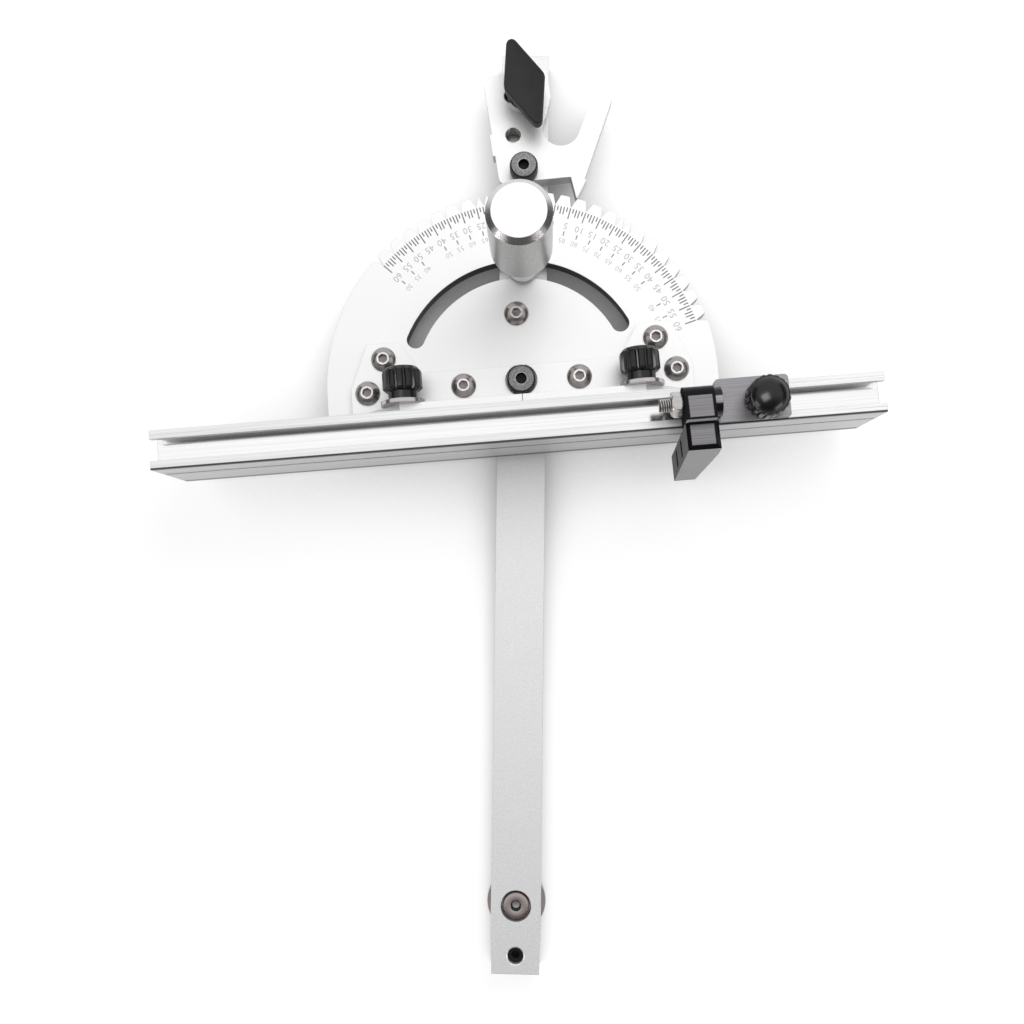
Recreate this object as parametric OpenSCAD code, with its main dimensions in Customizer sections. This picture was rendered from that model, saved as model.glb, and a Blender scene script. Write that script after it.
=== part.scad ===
// Miter gauge for a table saw: slot bar, protractor head, index lever, T-slot fence and flip stop.
// Millimetres. The origin is on the head's pivot axis, at the underside of the bar.
// X runs across the bar, Y along it towards the index lever, Z up.

/* [Bar] */
// Width of the bar, for a standard three-quarter inch slot
bar_w = 19.05; // [18.8:0.05:19.3]
// Thickness of the bar
bar_t = 9.5; // [9:0.1:12]
// Length of the bar from the pivot to its front end
bar_front = 226; // [200:1:300]
// How far the bar runs on beyond the lever
bar_tail = 10.5; // [6:0.5:30]
// Length of the lead-in taper at the front end
bar_taper_len = 15; // [5:1:25]
// How much the taper takes off each side
bar_taper = 0.5; // [0.5:0.1:2]
// Diameter of the retaining disc under the bar
disc_d = 22.5; // [22:0.5:28]
// Thickness of the retaining disc
disc_t = 2.4; // [2:0.1:3.5]
// Distance of the retaining disc from the pivot
disc_y = 201; // [150:1:210]
// Diameter of the counterbore over the disc's screw
disc_bore_d = 11.6; // [11:0.1:13]
// Diameter of the disc screw's head
disc_screw_d = 10.2; // [9:0.1:10.6]
// Distance of the set screw from the pivot
set_screw_y = 219.4; // [214:0.1:221]

/* [Head plate] */
// Radius of the half-round head plate
plate_r = 76.5; // [72:0.5:90]
// Thickness of the head plate and of the index lever
plate_t = 6; // [5:0.5:8]
// How far the plate reaches in front of the pivot
plate_front = 13.4; // [12:0.1:20]
// Angle at which the head is set
head_angle = 5; // [-45:5:60]
// Offset of the scale's zero from the head's perpendicular
zero_offset = 15; // [10:1:15]
// Step between the index notches, in degrees
notch_step = 5; // [5:5:15]
// Largest angle on the scale
scale_max = 60; // [45:5:60]
// Extra notch between two steps, for crown moulding
crown_angle = 22.5; // [22:0.5:23]
// Depth of an index notch
notch_depth = 4.2; // [3.5:0.1:5]
// Width of an index notch at the rim
notch_mouth = 3.1; // [2.6:0.1:3.1]
// Radius of the clamp slot's centreline
arc_slot_r = 45; // [42:0.5:48]
// Width of the clamp slot
arc_slot_w = 7; // [6.6:0.1:7.5]
// Swing of the head that the clamp slot allows each way
arc_slot_half = 63.5; // [62:0.5:66]

/* [Brackets] */
// Thickness of a bracket's upright flange
flange_t = 5; // [4:0.5:6]
// Height of the flange above the bar
flange_h = 23.5; // [23.5:0.5:27]
// Half the span over which the flange keeps its full height
flange_top_half = 46; // [46:0.5:50]
// Half the span of the flange at its foot
flange_foot_half = 62; // [58:0.5:64]
// Thickness of a bracket's foot
foot_t = 3; // [2:0.5:4]
// Distance of the inner foot screw from the head's centre
foot_screw_in = 22.5; // [20:0.5:26]
// Distance of the outer foot screw from the head's centre
foot_screw_out = 60; // [58:0.5:62]
// Distance of the rear foot screw from the head's centre
foot_screw_rear_x = 53; // [52:0.5:55]
// How far the rear foot screw lies behind the pivot
foot_screw_rear_y = 12.4; // [12:0.2:14]
// Place of the centre screw behind the pivot
centre_screw_y = 27.2; // [24:0.2:30]

/* [Screws] */
// Diameter of the button heads
button_d = 9.6; // [9:0.1:10]
// Height of the button heads
button_h = 2.6; // [2.2:0.1:3]
// Shank diameter of the button-head screws
button_shank_d = 5; // [4:0.5:5]
// Head diameter of the two black cap screws
cap_d = 11.1; // [9:0.1:12]
// Head height of the two black cap screws
cap_h = 6; // [5:0.5:7]
// Shank diameter of the cap screws, the studs and the clamp bolts
stud_d = 6; // [5:0.5:6]

/* [Clamp knob] */
// Diameter of the clamp knob
clamp_d = 23; // [20:0.5:26]
// Height of the clamp knob's body
clamp_h = 36; // [28:1:40]
// Height of the body's underside above the bar
clamp_z = 30; // [26:1:34]
// Diameter of the knob's neck
clamp_neck_d = 11.5; // [11:0.5:14]
// Bevel round the top of the knob
clamp_bevel = 2; // [1:0.25:3]
// Diameter of the clamp washer
clamp_washer_d = 12.5; // [12.5:0.1:16]
// Thickness of the clamp washer
clamp_washer_t = 1.6; // [1:0.1:2]

/* [Index lever] */
// Distance of the lever's pivot outside the head's rim
lever_pivot_gap = 8.5; // [8:0.1:9.5]
// Radius of the lever's clamp slot
lever_slot_r = 31.5; // [30:0.5:33]
// Width of the lever's clamp slot
lever_slot_w = 6.4; // [6.3:0.1:7]
// Full swing of the lever
lever_swing = 17; // [15:1:17]
// How far the lever is drawn back from the notch
lever_draw = 9.5; // [9.5:0.5:10.5]
// Left edge of the lever from the bar's centreline
lever_left = 10.4; // [9.6:0.1:12]
// Right edge of the lever's body from the bar's centreline
lever_right = 15.6; // [15:0.1:17]
// Far edge of the lever from its own pivot
lever_reach = 40.5; // [39:0.5:43]
// Diameter of the open threaded hole
spare_hole_d = 6; // [4:0.1:6]
// Diameter of the countersink round it
spare_sink_d = 6.4; // [6.2:0.1:8]

/* [Wing knob] */
// Length of the wing knob
wing_len = 36; // [30:0.5:38]
// Width of the wing knob
wing_w = 16.5; // [13:0.5:18]
// Height of the wing itself
wing_h = 5.6; // [5:0.2:10]
// Angle of the wing to the bar
wing_angle = 19; // [0:1:90]

/* [Fence] */
// Length of the fence
fence_len = 264; // [240:1:450]
// How far the fence reaches left of the head's centre
fence_left = 135.6; // [120:0.1:230]
// Depth of the fence, front to rear
fence_d = 14.5; // [14:0.1:18]
// Height of the fence
fence_h = 36; // [34:1:40]
// Gap under the fence, above the bar
fence_lift = 1; // [0.5:0.1:2]
// Width of the T-slot mouths
slot_w = 8; // [7.8:0.1:8.4]
// Thickness of the top slot's lips, measured downwards
top_lip_t = 2.6; // [2:0.1:3]
// Inner width of the top slot
top_slot_in = 11.4; // [11:0.1:11.6]
// Total depth of the top slot
top_slot_depth = 7.6; // [7:0.1:8]
// Thickness of the rear slot's lips
rear_lip_t = 2.2; // [1.8:0.1:2.5]
// Inner height of the rear slot
rear_slot_in = 13; // [12.6:0.1:14]
// Total depth of the rear slot
rear_slot_depth = 6.4; // [6:0.1:7]
// Height of the line groove on the front face, above the bar
groove_z = 23.5; // [18:0.5:28]

/* [Fence knobs] */
// Distance of each fence knob from the head's centre
fence_knob_x = 45; // [38:0.5:45]
// Diameter of the fence knobs
fence_knob_d = 15; // [13:0.5:17]
// Length of the fluted part
fence_knob_len = 9.4; // [8:0.2:12]
// Diameter of the knob's neck
fence_neck_d = 11; // [10.5:0.1:13]
// Length of the knob's neck
fence_neck_len = 3.5; // [3:0.1:5]
// Number of flutes round a fence knob
fence_flutes = 14; // [8:1:18]
// Width of a fence knob's flutes
fence_flute_d = 1.8; // [1.2:0.1:2.4]
// Bevel at both ends of the fluted part
fence_knob_bevel = 1.6; // [0.5:0.1:2]
// Diameter of the large washers
fence_washer_d = 17; // [15:0.5:18]
// Thickness of the large washers
fence_washer_t = 1.5; // [1:0.1:2]

/* [Flip stop] */
// Place of the stop's clamp stud along the fence
stop_x = 85; // [30:1:110]
// Length of the carrier plate
carrier_len = 26; // [24:0.5:30]
// Width of the carrier plate
carrier_w = 15.4; // [14:0.1:16]
// Thickness of the carrier plate
carrier_t = 3.4; // [3:0.1:4]
// Width of the flip arm, along the fence
arm_w = 10.6; // [9:0.1:12]
// Depth of the finger, front to rear
finger_d = 9.8; // [8:0.1:12]
// Radius of the arm round its pivot
arm_r = 5.9; // [5.4:0.1:6.2]
// How far the finger's top lies below the arm's top
finger_step = 3; // [2:0.5:4]
// How far the finger stands out beyond the arm, towards the carrier plate
finger_proud = 0.8; // [0:0.1:1.2]
// Width of the finger's tip
finger_tip_w = 8; // [6:0.1:10.6]
// How far the finger is swung out from the fence
arm_angle = 8; // [0:1:30]
// Clearance between the finger's tip and the table
finger_clear = 2; // [1:0.5:5]
// Diameter of the stop's knob
stop_knob_d = 14.6; // [13:0.1:16]
// Height of the stop knob's fluted part
stop_knob_h = 8.6; // [7:0.1:11]
// Number of flutes round the stop's knob
stop_flutes = 12; // [8:1:16]
// Width of the stop knob's flutes
stop_flute_d = 2.4; // [1.4:0.1:3]
// Height of the dome over it
stop_dome_h = 3.4; // [2:0.1:5]
// Shank diameter of the stop's stud and pivot bolt
stop_stud_d = 5; // [4:0.5:5]

/* [Hidden] */
$fn = 72;

// Clearances
run_gap = 0.1;
thread_gap = 0.05;
shaft_gap = 0.06;
seat_gap = 0.3;
cut = 1;
// How far tangent shapes are inset, so that they meet in clean edges
hair = 0.01;

// Heights of the stacked plates
plate_z = bar_t + run_gap;
plate_top = plate_z + plate_t;
foot_top = plate_top + foot_t;

// Fence section, seen from its end
fence_rear = -plate_front - 0.2;
fence_mid = fence_rear - fence_d / 2;
fence_front = fence_rear - fence_d;
fence_z = bar_t + fence_lift;
fence_top = fence_z + fence_h;
fence_axis_z = fence_z + fence_h / 2;
groove_w = 1;
groove_deep = 0.5;
flange_rear = -plate_front + flange_t;
washer_rear = flange_rear + fence_washer_t;

// Places along the bar that follow the head's rim
lever_pivot_y = plate_r + lever_pivot_gap;
lever_top = lever_pivot_y + lever_reach;
bar_back = lever_top + bar_tail;

// Index notches
notch_half = atan(notch_mouth / 2 / notch_depth);
tooth_gap = 0.7;
tooth_tip_r = plate_r - notch_depth + tooth_gap;
tooth_root_r = plate_r + 4.5;
tooth_flank = 0.12;
tooth_root = tooth_root_r * [sin(zero_offset), cos(zero_offset)];

// Sockets, bevels and fillets
hex_small = 3;
hex_disc = 3.5;
hex_cap = 4;
button_crown = 0.1;
button_socket = 1.8;
flute_sink = 0.22;
button_inset = 0.4;
edge_bevel = 0.5;
corner_r = 3;

// Lever outline: the finger hook and its round parts
hook_pivot = [17.3, lever_pivot_y + 15.2];
hook_r = 7.5;
hook_tip = [35.6, lever_pivot_y + 24.8];
hook_tip_r = 3.9;
hook_cut = 0.4;
hook_root = tooth_root + [1.44, -2.04];
recess_x = tooth_root[0] - 3.36;
recess_drop = 1.2;
lever_front = lever_pivot_y - 4.3;
pad_y = lever_pivot_y + 12.5;
pad_len = 9;
pad_out = 0.9;

// Place of the spare hole in the lever
spare_hole = [-2, lever_pivot_y + 15.3];

// Wing knob stack
lever_washer_d = 14;
lever_washer_t = 1.2;
wing_hub_d = 11;
wing_hub_h = 4;
wing_tip_r = 2.2;
wing_side_r = 4.5;
wing_edge = 0.6;
wing_dish = 0.5;
wing_dish_r = 40;
insert_d = 8;
wing_z = plate_top + run_gap + lever_washer_t + run_gap + wing_hub_h;

// Studs and screws end just above the bar's underside; the clamp knob's stud reaches well into its body
stud_inset = 0.5;
clamp_stud_top = bar_t + clamp_z + 12.5;

// Clamp bolts in the rear slot
bolt_head = 12;
bolt_head_t = 3.2;
bolt_head_y = fence_rear - rear_lip_t - run_gap;
fence_knob_end = washer_rear + run_gap + fence_neck_len + fence_knob_len;
fence_stud_end = fence_knob_end - 3;

// Flip stop stack
pivot_z = fence_top + seat_gap + arm_r;
carrier_mid = fence_mid + 0.8;
carrier_z = fence_top + run_gap;
carrier_top = carrier_z + carrier_t;
carrier_right = stop_x + 8.8;
carrier_left = carrier_right - carrier_len;
lug_t = 2.6;
lug_left = carrier_left - 1.4;
lug_r = 5.2;
arm_right = lug_left - run_gap;
arm_left = arm_right - arm_w;
pivot_nut_af = 8;
pivot_nut_t = 4;
pivot_bolt_end = arm_left - run_gap - pivot_nut_t - 4.4;
finger_back = fence_front - seat_gap;
finger_bottom = bar_t + finger_clear;
slot_nut_len = 12;
slot_nut_t = 3.4;
stop_insert_d = 7.5;

// Seat of the disc's screw, inside the bar
disc_seat_z = bar_t - 4.6;
disc_screw_h = 4.2;

// Foot screws of the right bracket; the left one is its mirror image
foot_screw_y = -0.5;
foot_screw_spots = [
    [foot_screw_in, foot_screw_y], [foot_screw_out, foot_screw_y], [foot_screw_rear_x, foot_screw_rear_y]
];

// Length of the threaded insert above the wing's underside
insert_h = 3.2;

// Length of the brass insert inside a fence knob
fence_insert_len = fence_neck_len + fence_knob_len - 2.5;

// Height of the insert inside the stop's knob
stop_insert_h = stop_knob_h - 1.5;

// Puts a piece into the head's frame, which is turned about the pivot
module in_head() {
    rotate([0, 0, head_angle]) children();
}

// Turns the lever about its own pivot, away from the notch
module lever_turn(angle) {
    translate([0, lever_pivot_y]) rotate(angle) translate([0, -lever_pivot_y]) children();
}

// Socket-head cap screw with its head's underside at z = 0 and its shank hanging down
module cap_screw(head_d, head_h, hex, shank, length) {
    difference() {
        rotate_extrude() polygon([
            [0, -length], [shank / 2 - edge_bevel, -length], [shank / 2, edge_bevel - length],
            [shank / 2, 0], [head_d / 2, 0], [head_d / 2, head_h - edge_bevel],
            [head_d / 2 - edge_bevel, head_h], [0, head_h]
        ]);
        translate([0, 0, head_h / 2]) cylinder(d = hex / cos(30), h = head_h, $fn = 6);
    }
}

// Button-head screw with its head's underside at z = 0
module button_screw(length) {
    rim = 0.4;
    rise = button_h - rim + button_crown;
    dome_r = (button_d * button_d / 4 + rise * rise) / (2 * rise);
    difference() {
        union() {
            intersection() {
                cylinder(d = button_d, h = button_h);
                translate([0, 0, rim + rise - dome_r]) sphere(r = dome_r);
            }
            translate([0, 0, -length]) cylinder(d = button_shank_d, h = length + rim);
        }
        translate([0, 0, button_h - button_socket]) cylinder(d = hex_small / cos(30), h = button_h, $fn = 6);
    }
}

// Flat washer standing on z = 0
module washer(outer, inner, thick) {
    difference() {
        cylinder(d = outer, h = thick);
        translate([0, 0, -cut]) cylinder(d = inner, h = thick + 2 * cut);
    }
}

// Round slot along an arc about the origin, from angle a to angle b.
module arc_slot(radius, width, a, b, height) {
    rotate([0, 0, a]) rotate_extrude(angle = b - a)
        translate([radius - width / 2 + hair, 0]) square([width - 2 * hair, height]);
    for (end = [a, b])
        rotate([0, 0, end]) translate([radius, 0, 0]) cylinder(d = width, h = height);
}

// Fluted hand knob with its axis along Z, standing on z = 0
module fluted_grip(diameter, height, flutes, flute_d, bevel) {
    difference() {
        rotate_extrude() polygon([
            [0, 0], [diameter / 2 - bevel, 0], [diameter / 2, bevel],
            [diameter / 2, height - bevel], [diameter / 2 - bevel, height], [0, height]
        ]);
        for (k = [0:flutes - 1])
            rotate([0, 0, k * 360 / flutes]) translate([diameter / 2 + flute_d * flute_sink, 0, -cut])
                cylinder(d = flute_d, h = height + 2 * cut, $fn = 24);
    }
}

module miter_bar() {
    color("silver") difference() {
        linear_extrude(bar_t) polygon([
            [-bar_w / 2, bar_back], [-bar_w / 2, bar_taper_len - bar_front],
            [bar_taper - bar_w / 2, -bar_front], [bar_w / 2 - bar_taper, -bar_front],
            [bar_w / 2, bar_taper_len - bar_front], [bar_w / 2, bar_back]
        ]);
        for (y = [0, arc_slot_r, lever_pivot_y, lever_pivot_y + lever_slot_r])
            translate([0, y, -cut]) cylinder(d = stud_d + 2 * thread_gap, h = bar_t + 2 * cut);
        translate([0, -disc_y, -cut]) {
            cylinder(d = disc_d + 2 * seat_gap, h = disc_t + cut);
            cylinder(d = button_shank_d + 2 * thread_gap, h = bar_t + 2 * cut);
        }
        translate([0, -disc_y, disc_seat_z]) cylinder(d = disc_bore_d, h = bar_t);
        translate([0, -set_screw_y, -cut])
            cylinder(d = stud_d + 2 * thread_gap, h = bar_t + 2 * cut);
        translate([0, -set_screw_y, bar_t - edge_bevel])
            cylinder(d1 = stud_d, d2 = stud_d + 4 * edge_bevel, h = 2 * edge_bevel);
    }
}

module retaining_disc() {
    color("lightgray") translate([0, -disc_y, 0])
        washer(disc_d, button_shank_d + 2 * thread_gap, disc_t);
}

module disc_screw() {
    color("lightgray") translate([0, -disc_y, disc_seat_z])
        cap_screw(disc_screw_d, disc_screw_h, hex_disc, button_shank_d, disc_seat_z);
}

module bar_set_screw() {
    length = bar_t - stud_inset - 2;
    color("dimgray") translate([0, -set_screw_y, stud_inset]) difference() {
        cylinder(d = stud_d, h = length);
        translate([0, 0, length - hex_small]) cylinder(d = hex_small / cos(30), h = length, $fn = 6);
    }
}

module pivot_screw() {
    color("black") translate([0, 0, plate_top + run_gap])
        cap_screw(cap_d, cap_h, hex_cap, stud_d, plate_top + run_gap - stud_inset);
}

module clamp_stud() {
    color("gray") translate([0, arc_slot_r, stud_inset])
        cylinder(d = stud_d, h = clamp_stud_top - stud_inset);
}

module clamp_washer() {
    color("silver") translate([0, arc_slot_r, plate_top + run_gap])
        washer(clamp_washer_d, stud_d + 2 * thread_gap, clamp_washer_t);
}

module lever_pivot_screw() {
    color("black") translate([0, lever_pivot_y, plate_top + run_gap])
        cap_screw(cap_d, cap_h, hex_cap, stud_d, plate_top + run_gap - stud_inset);
}

module lever_stud() {
    color("gray") translate([0, lever_pivot_y + lever_slot_r, stud_inset])
        cylinder(d = stud_d, h = wing_z + insert_h - 2 * stud_inset);
}

module lever_washer() {
    color("silver") translate([0, lever_pivot_y + lever_slot_r, plate_top + run_gap])
        washer(lever_washer_d, stud_d + 2 * thread_gap, lever_washer_t);
}

// One index notch at an angle clockwise from the head's perpendicular
module notch(angle) {
    rotate([0, 0, -angle]) translate([0, plate_r - notch_depth, -cut])
        linear_extrude(plate_t + 2 * cut) polygon([
            [0, 0], [-notch_mouth, 2 * notch_depth], [notch_mouth, 2 * notch_depth]
        ]);
}

module head_plate() {
    color("whitesmoke") in_head() translate([0, 0, plate_z]) difference() {
        union() {
            intersection() {
                cylinder(r = plate_r, h = plate_t, $fn = 180);
                translate([-plate_r, 0, 0]) cube([2 * plate_r, plate_r, plate_t]);
            }
            translate([-plate_r, -plate_front, 0]) cube([2 * plate_r, plate_front, plate_t]);
        }
        for (mark = [-scale_max:notch_step:scale_max]) notch(zero_offset + mark);
        for (side = [-1, 1]) notch(zero_offset + side * crown_angle);
        translate([0, 0, -cut])
            arc_slot(arc_slot_r, arc_slot_w, 90 - arc_slot_half, 90 + arc_slot_half, plate_t + 2 * cut);
        translate([0, 0, -cut]) cylinder(d = stud_d + 2 * shaft_gap, h = plate_t + 2 * cut);
        for (side = [-1, 1], spot = foot_screw_spots)
            translate([side * spot[0], spot[1], -cut])
                cylinder(d = button_shank_d + 2 * thread_gap, h = plate_t + 2 * cut);
        translate([0, centre_screw_y, -cut])
            cylinder(d = button_shank_d + 2 * thread_gap, h = plate_t + 2 * cut);
    }
}

// Right-hand bracket: a foot on the head plate and an upright flange behind the fence
module bracket_shape() {
    seam = 0.1;
    margin = button_d / 2 + 1.6;
    toe = 8;
    foot_back = foot_screw_y + margin;
    difference() {
        union() {
            translate([0, 0, plate_top]) linear_extrude(foot_t) difference() {
                polygon([
                    [seam, -plate_front], [foot_screw_out + margin, -plate_front],
                    [foot_screw_out + margin, foot_screw_y + 2],
                    [foot_screw_rear_x + margin, foot_screw_rear_y + margin],
                    [foot_screw_rear_x - margin, foot_screw_rear_y + margin],
                    [foot_screw_rear_x - margin - toe, foot_back], [seam, foot_back]
                ]);
                circle(d = cap_d + 4 * seat_gap);
            }
            translate([0, flange_rear, 0]) rotate([90, 0, 0]) linear_extrude(flange_t) polygon([
                [seam, plate_top], [flange_foot_half, plate_top], [flange_foot_half, foot_top],
                [flange_top_half, bar_t + flange_h], [seam, bar_t + flange_h]
            ]);
        }
        for (spot = foot_screw_spots)
            translate([spot[0], spot[1], plate_top - cut])
                cylinder(d = button_shank_d + 2 * thread_gap, h = foot_t + 2 * cut);
        translate([fence_knob_x, flange_rear + cut, fence_axis_z]) rotate([90, 0, 0])
            cylinder(d = stud_d + 2 * thread_gap, h = flange_t + 2 * cut);
    }
}

module bracket_left() {
    color("whitesmoke") in_head() mirror([1, 0, 0]) bracket_shape();
}

module bracket_right() {
    color("whitesmoke") in_head() bracket_shape();
}

// The three foot screws of one bracket
module foot_screws(side) {
    for (spot = foot_screw_spots)
        translate([side * spot[0], spot[1], foot_top]) button_screw(foot_t + plate_t - button_inset);
}

module bracket_screws_left() {
    color("tan") in_head() foot_screws(-1);
}

module bracket_screws_right() {
    color("tan") in_head() foot_screws(1);
}

module centre_screw() {
    color("tan") in_head() translate([0, centre_screw_y, plate_top]) button_screw(plate_t - button_inset);
}

// Clamp bolt with a square head in the rear slot and its shank through the flange
module fence_bolt(side) {
    color("gray") in_head() translate([side * fence_knob_x, 0, fence_axis_z]) {
        translate([0, bolt_head_y - bolt_head_t / 2, 0])
            cube([bolt_head, bolt_head_t, bolt_head], center = true);
        translate([0, bolt_head_y - 0.5, 0]) rotate([-90, 0, 0])
            cylinder(d = stud_d, h = fence_stud_end - bolt_head_y + 0.5);
    }
}

module fence_bolt_left() {
    fence_bolt(-1);
}

module fence_bolt_right() {
    fence_bolt(1);
}

// Large washer behind the flange
module fence_washer(side) {
    color("gainsboro") in_head() translate([side * fence_knob_x, flange_rear, fence_axis_z])
        rotate([-90, 0, 0]) washer(fence_washer_d, stud_d + 2 * thread_gap, fence_washer_t);
}

module fence_washer_left() {
    fence_washer(-1);
}

module fence_washer_right() {
    fence_washer(1);
}

module clamp_knob() {
    radius = clamp_d / 2;
    neck = clamp_neck_d / 2;
    base = bar_t + clamp_z;
    neck_z = plate_top + run_gap + clamp_washer_t + run_gap;
    foot_bevel = 0.6;
    color("silver") translate([0, arc_slot_r, 0]) difference() {
        rotate_extrude() polygon([
            [0, neck_z], [neck, neck_z], [neck, base], [radius - foot_bevel, base],
            [radius, base + foot_bevel], [radius, base + clamp_h - clamp_bevel],
            [radius - clamp_bevel, base + clamp_h], [0, base + clamp_h]
        ]);
        translate([0, 0, neck_z - cut])
            cylinder(d = stud_d + 2 * shaft_gap, h = clamp_stud_top + 1.5 - neck_z + cut);
    }
}

// Outline of the index lever as it lies with its tooth in a notch
module lever_outline() {
    difference() {
        union() {
            translate([corner_r - lever_left, lever_front]) square([
                lever_left + lever_right - 2 * corner_r, lever_top - lever_front
            ]);
            translate([-lever_left, lever_front + corner_r]) square([
                lever_left + lever_right, lever_top - lever_front - 2 * corner_r
            ]);
            for (x = [corner_r - lever_left, lever_right - corner_r])
                for (y = [lever_front + corner_r, lever_top - corner_r])
                    translate([x, y]) circle(r = corner_r);
            translate([-lever_left - pad_out, pad_y - pad_len / 2]) square([2 * pad_out, pad_len]);
            polygon([
                [0, lever_front], [recess_x, lever_front - recess_drop], hook_root,
                hook_tip + (hook_tip_r - hair) * [cos(30), -sin(30)],
                hook_tip - (hook_tip_r - hair) * [cos(30), -sin(30)],
                [hook_pivot[0] + hook_r, hook_pivot[1] - 2], hook_pivot, [0, hook_pivot[1]]
            ]);
            translate(hook_tip) circle(r = hook_tip_r);
            tooth_outline();
        }
        translate(hook_pivot) circle(r = hook_r);
        polygon([
            [hook_pivot[0] - hook_r, hook_pivot[1]], [lever_right - 0.4, hook_pivot[1] + 13],
            [lever_right - 0.1, lever_top + cut], [lever_right + 20, lever_top + cut],
            hook_tip + (hook_tip_r + hook_cut) * [-cos(30), sin(30)], hook_pivot + [hook_r + hook_cut, 0]
        ]);
    }
}

// The index tooth, on the radius that passes the scale's zero mark
module tooth_outline() {
    tip = tooth_gap * tan(notch_half) - tooth_flank;
    side = tip + (tooth_root_r - tooth_tip_r) * tan(notch_half);
    rotate(-zero_offset) polygon([
        [-tip, tooth_tip_r], [tip, tooth_tip_r], [side, tooth_root_r], [-side, tooth_root_r]
    ]);
}

module index_lever() {
    sink = (spare_sink_d - spare_hole_d) / 2;
    color("whitesmoke") translate([0, 0, plate_z]) difference() {
        linear_extrude(plate_t) lever_turn(lever_draw) lever_outline();
        translate([0, lever_pivot_y, -cut])
            cylinder(d = stud_d + 2 * shaft_gap, h = plate_t + 2 * cut);
        translate([0, lever_pivot_y, -cut]) arc_slot(
            lever_slot_r, lever_slot_w, 90 + lever_draw - lever_swing, 90 + lever_draw, plate_t + 2 * cut
        );
        lever_turn(lever_draw) translate([spare_hole[0], spare_hole[1], 0]) {
            translate([0, 0, -cut]) cylinder(d = spare_hole_d, h = plate_t + 2 * cut);
            translate([0, 0, plate_t - sink])
                cylinder(d1 = spare_hole_d, d2 = spare_sink_d + 2 * cut, h = sink + cut);
        }
    }
}

module wing_knob() {
    color("#222222") translate([0, lever_pivot_y + lever_slot_r, wing_z]) difference() {
        union() {
            rotate([0, 0, wing_angle]) hull() {
                for (end = [-1, 1], inset = [0, wing_edge]) {
                    translate([0, end * (wing_len / 2 - wing_tip_r), 0])
                        cylinder(r = wing_tip_r - inset, h = wing_h - wing_edge + inset, $fn = 32);
                    translate([end * (wing_w / 2 - wing_side_r), 0, 0])
                        cylinder(r = wing_side_r - inset, h = wing_h - wing_edge + inset, $fn = 32);
                }
            }
            translate([0, 0, -wing_hub_h]) cylinder(d = wing_hub_d, h = wing_hub_h + 1);
        }
        translate([0, 0, wing_h + wing_dish_r - wing_dish]) sphere(r = wing_dish_r, $fn = 48);
        translate([0, 0, -wing_hub_h - cut]) cylinder(d = insert_d, h = wing_hub_h + cut + insert_h);
    }
}

module wing_insert() {
    color("goldenrod") translate([0, lever_pivot_y + lever_slot_r, wing_z - wing_hub_h])
        washer(insert_d, stud_d + 2 * shaft_gap, wing_hub_h + insert_h);
}

// Section of the fence, with the head's Y across and Z up
module fence_section() {
    difference() {
        translate([fence_front, fence_z]) square([fence_d, fence_h]);
        translate([fence_mid - slot_w / 2, fence_top - top_slot_depth])
            square([slot_w, top_slot_depth + cut]);
        translate([fence_mid - top_slot_in / 2, fence_top - top_slot_depth])
            square([top_slot_in, top_slot_depth - top_lip_t]);
        translate([fence_rear - rear_slot_depth, fence_axis_z - slot_w / 2])
            square([rear_slot_depth + cut, slot_w]);
        translate([fence_rear - rear_slot_depth, fence_axis_z - rear_slot_in / 2])
            square([rear_slot_depth - rear_lip_t, rear_slot_in]);
        translate([fence_front - cut, bar_t + groove_z]) square([cut + groove_deep, groove_w]);
    }
}

module fence() {
    color("gainsboro") in_head() translate([-fence_left, 0, 0])
        rotate([90, 0, 90]) linear_extrude(fence_len) fence_section();
}

// Black fluted knob behind a fence washer, on its clamp bolt
module fence_knob(side) {
    color("black") in_head() translate([side * fence_knob_x, washer_rear + run_gap, fence_axis_z])
        rotate([-90, 0, 0]) difference() {
            union() {
                cylinder(d = fence_neck_d, h = fence_neck_len + 1);
                translate([0, 0, fence_neck_len])
                    fluted_grip(fence_knob_d, fence_knob_len, fence_flutes, fence_flute_d, fence_knob_bevel);
            }
            translate([0, 0, -cut]) cylinder(d = insert_d, h = cut + fence_insert_len);
        }
}

module fence_knob_left() {
    fence_knob(-1);
}

module fence_knob_right() {
    fence_knob(1);
}

module fence_knob_insert(side) {
    color("goldenrod") in_head() translate([side * fence_knob_x, washer_rear + run_gap, fence_axis_z])
        rotate([-90, 0, 0]) washer(insert_d, stud_d + 2 * shaft_gap, fence_insert_len);
}

module fence_knob_insert_left() {
    fence_knob_insert(-1);
}

module fence_knob_insert_right() {
    fence_knob_insert(1);
}

// Carrier plate of the flip stop, with the lug that holds the pivot bolt
module stop_carrier() {
    corner = 1.5;
    color("#333333") in_head() difference() {
        union() {
            for (inset = [[corner, 0], [0, corner]])
                translate([carrier_left + inset[0], carrier_mid - carrier_w / 2 + inset[1], carrier_z])
                    cube([carrier_len - 2 * inset[0], carrier_w - 2 * inset[1], carrier_t]);
            for (x = [carrier_left + corner, carrier_right - corner], side = [-1, 1])
                translate([x, carrier_mid + side * (carrier_w / 2 - corner), carrier_z])
                    cylinder(r = corner, h = carrier_t);
            translate([lug_left, fence_mid, pivot_z]) rotate([0, 90, 0]) cylinder(r = lug_r, h = lug_t);
            translate([lug_left, fence_mid - lug_r, carrier_z]) cube([lug_t, 2 * lug_r, pivot_z - carrier_z]);
        }
        translate([lug_left - cut, fence_mid, pivot_z]) rotate([0, 90, 0])
            cylinder(d = stop_stud_d + 2 * thread_gap, h = lug_t + 2 * cut);
        translate([stop_x, fence_mid, carrier_z - cut])
            cylinder(d = stop_stud_d + 2 * thread_gap, h = carrier_t + 2 * cut);
    }
}

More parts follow.
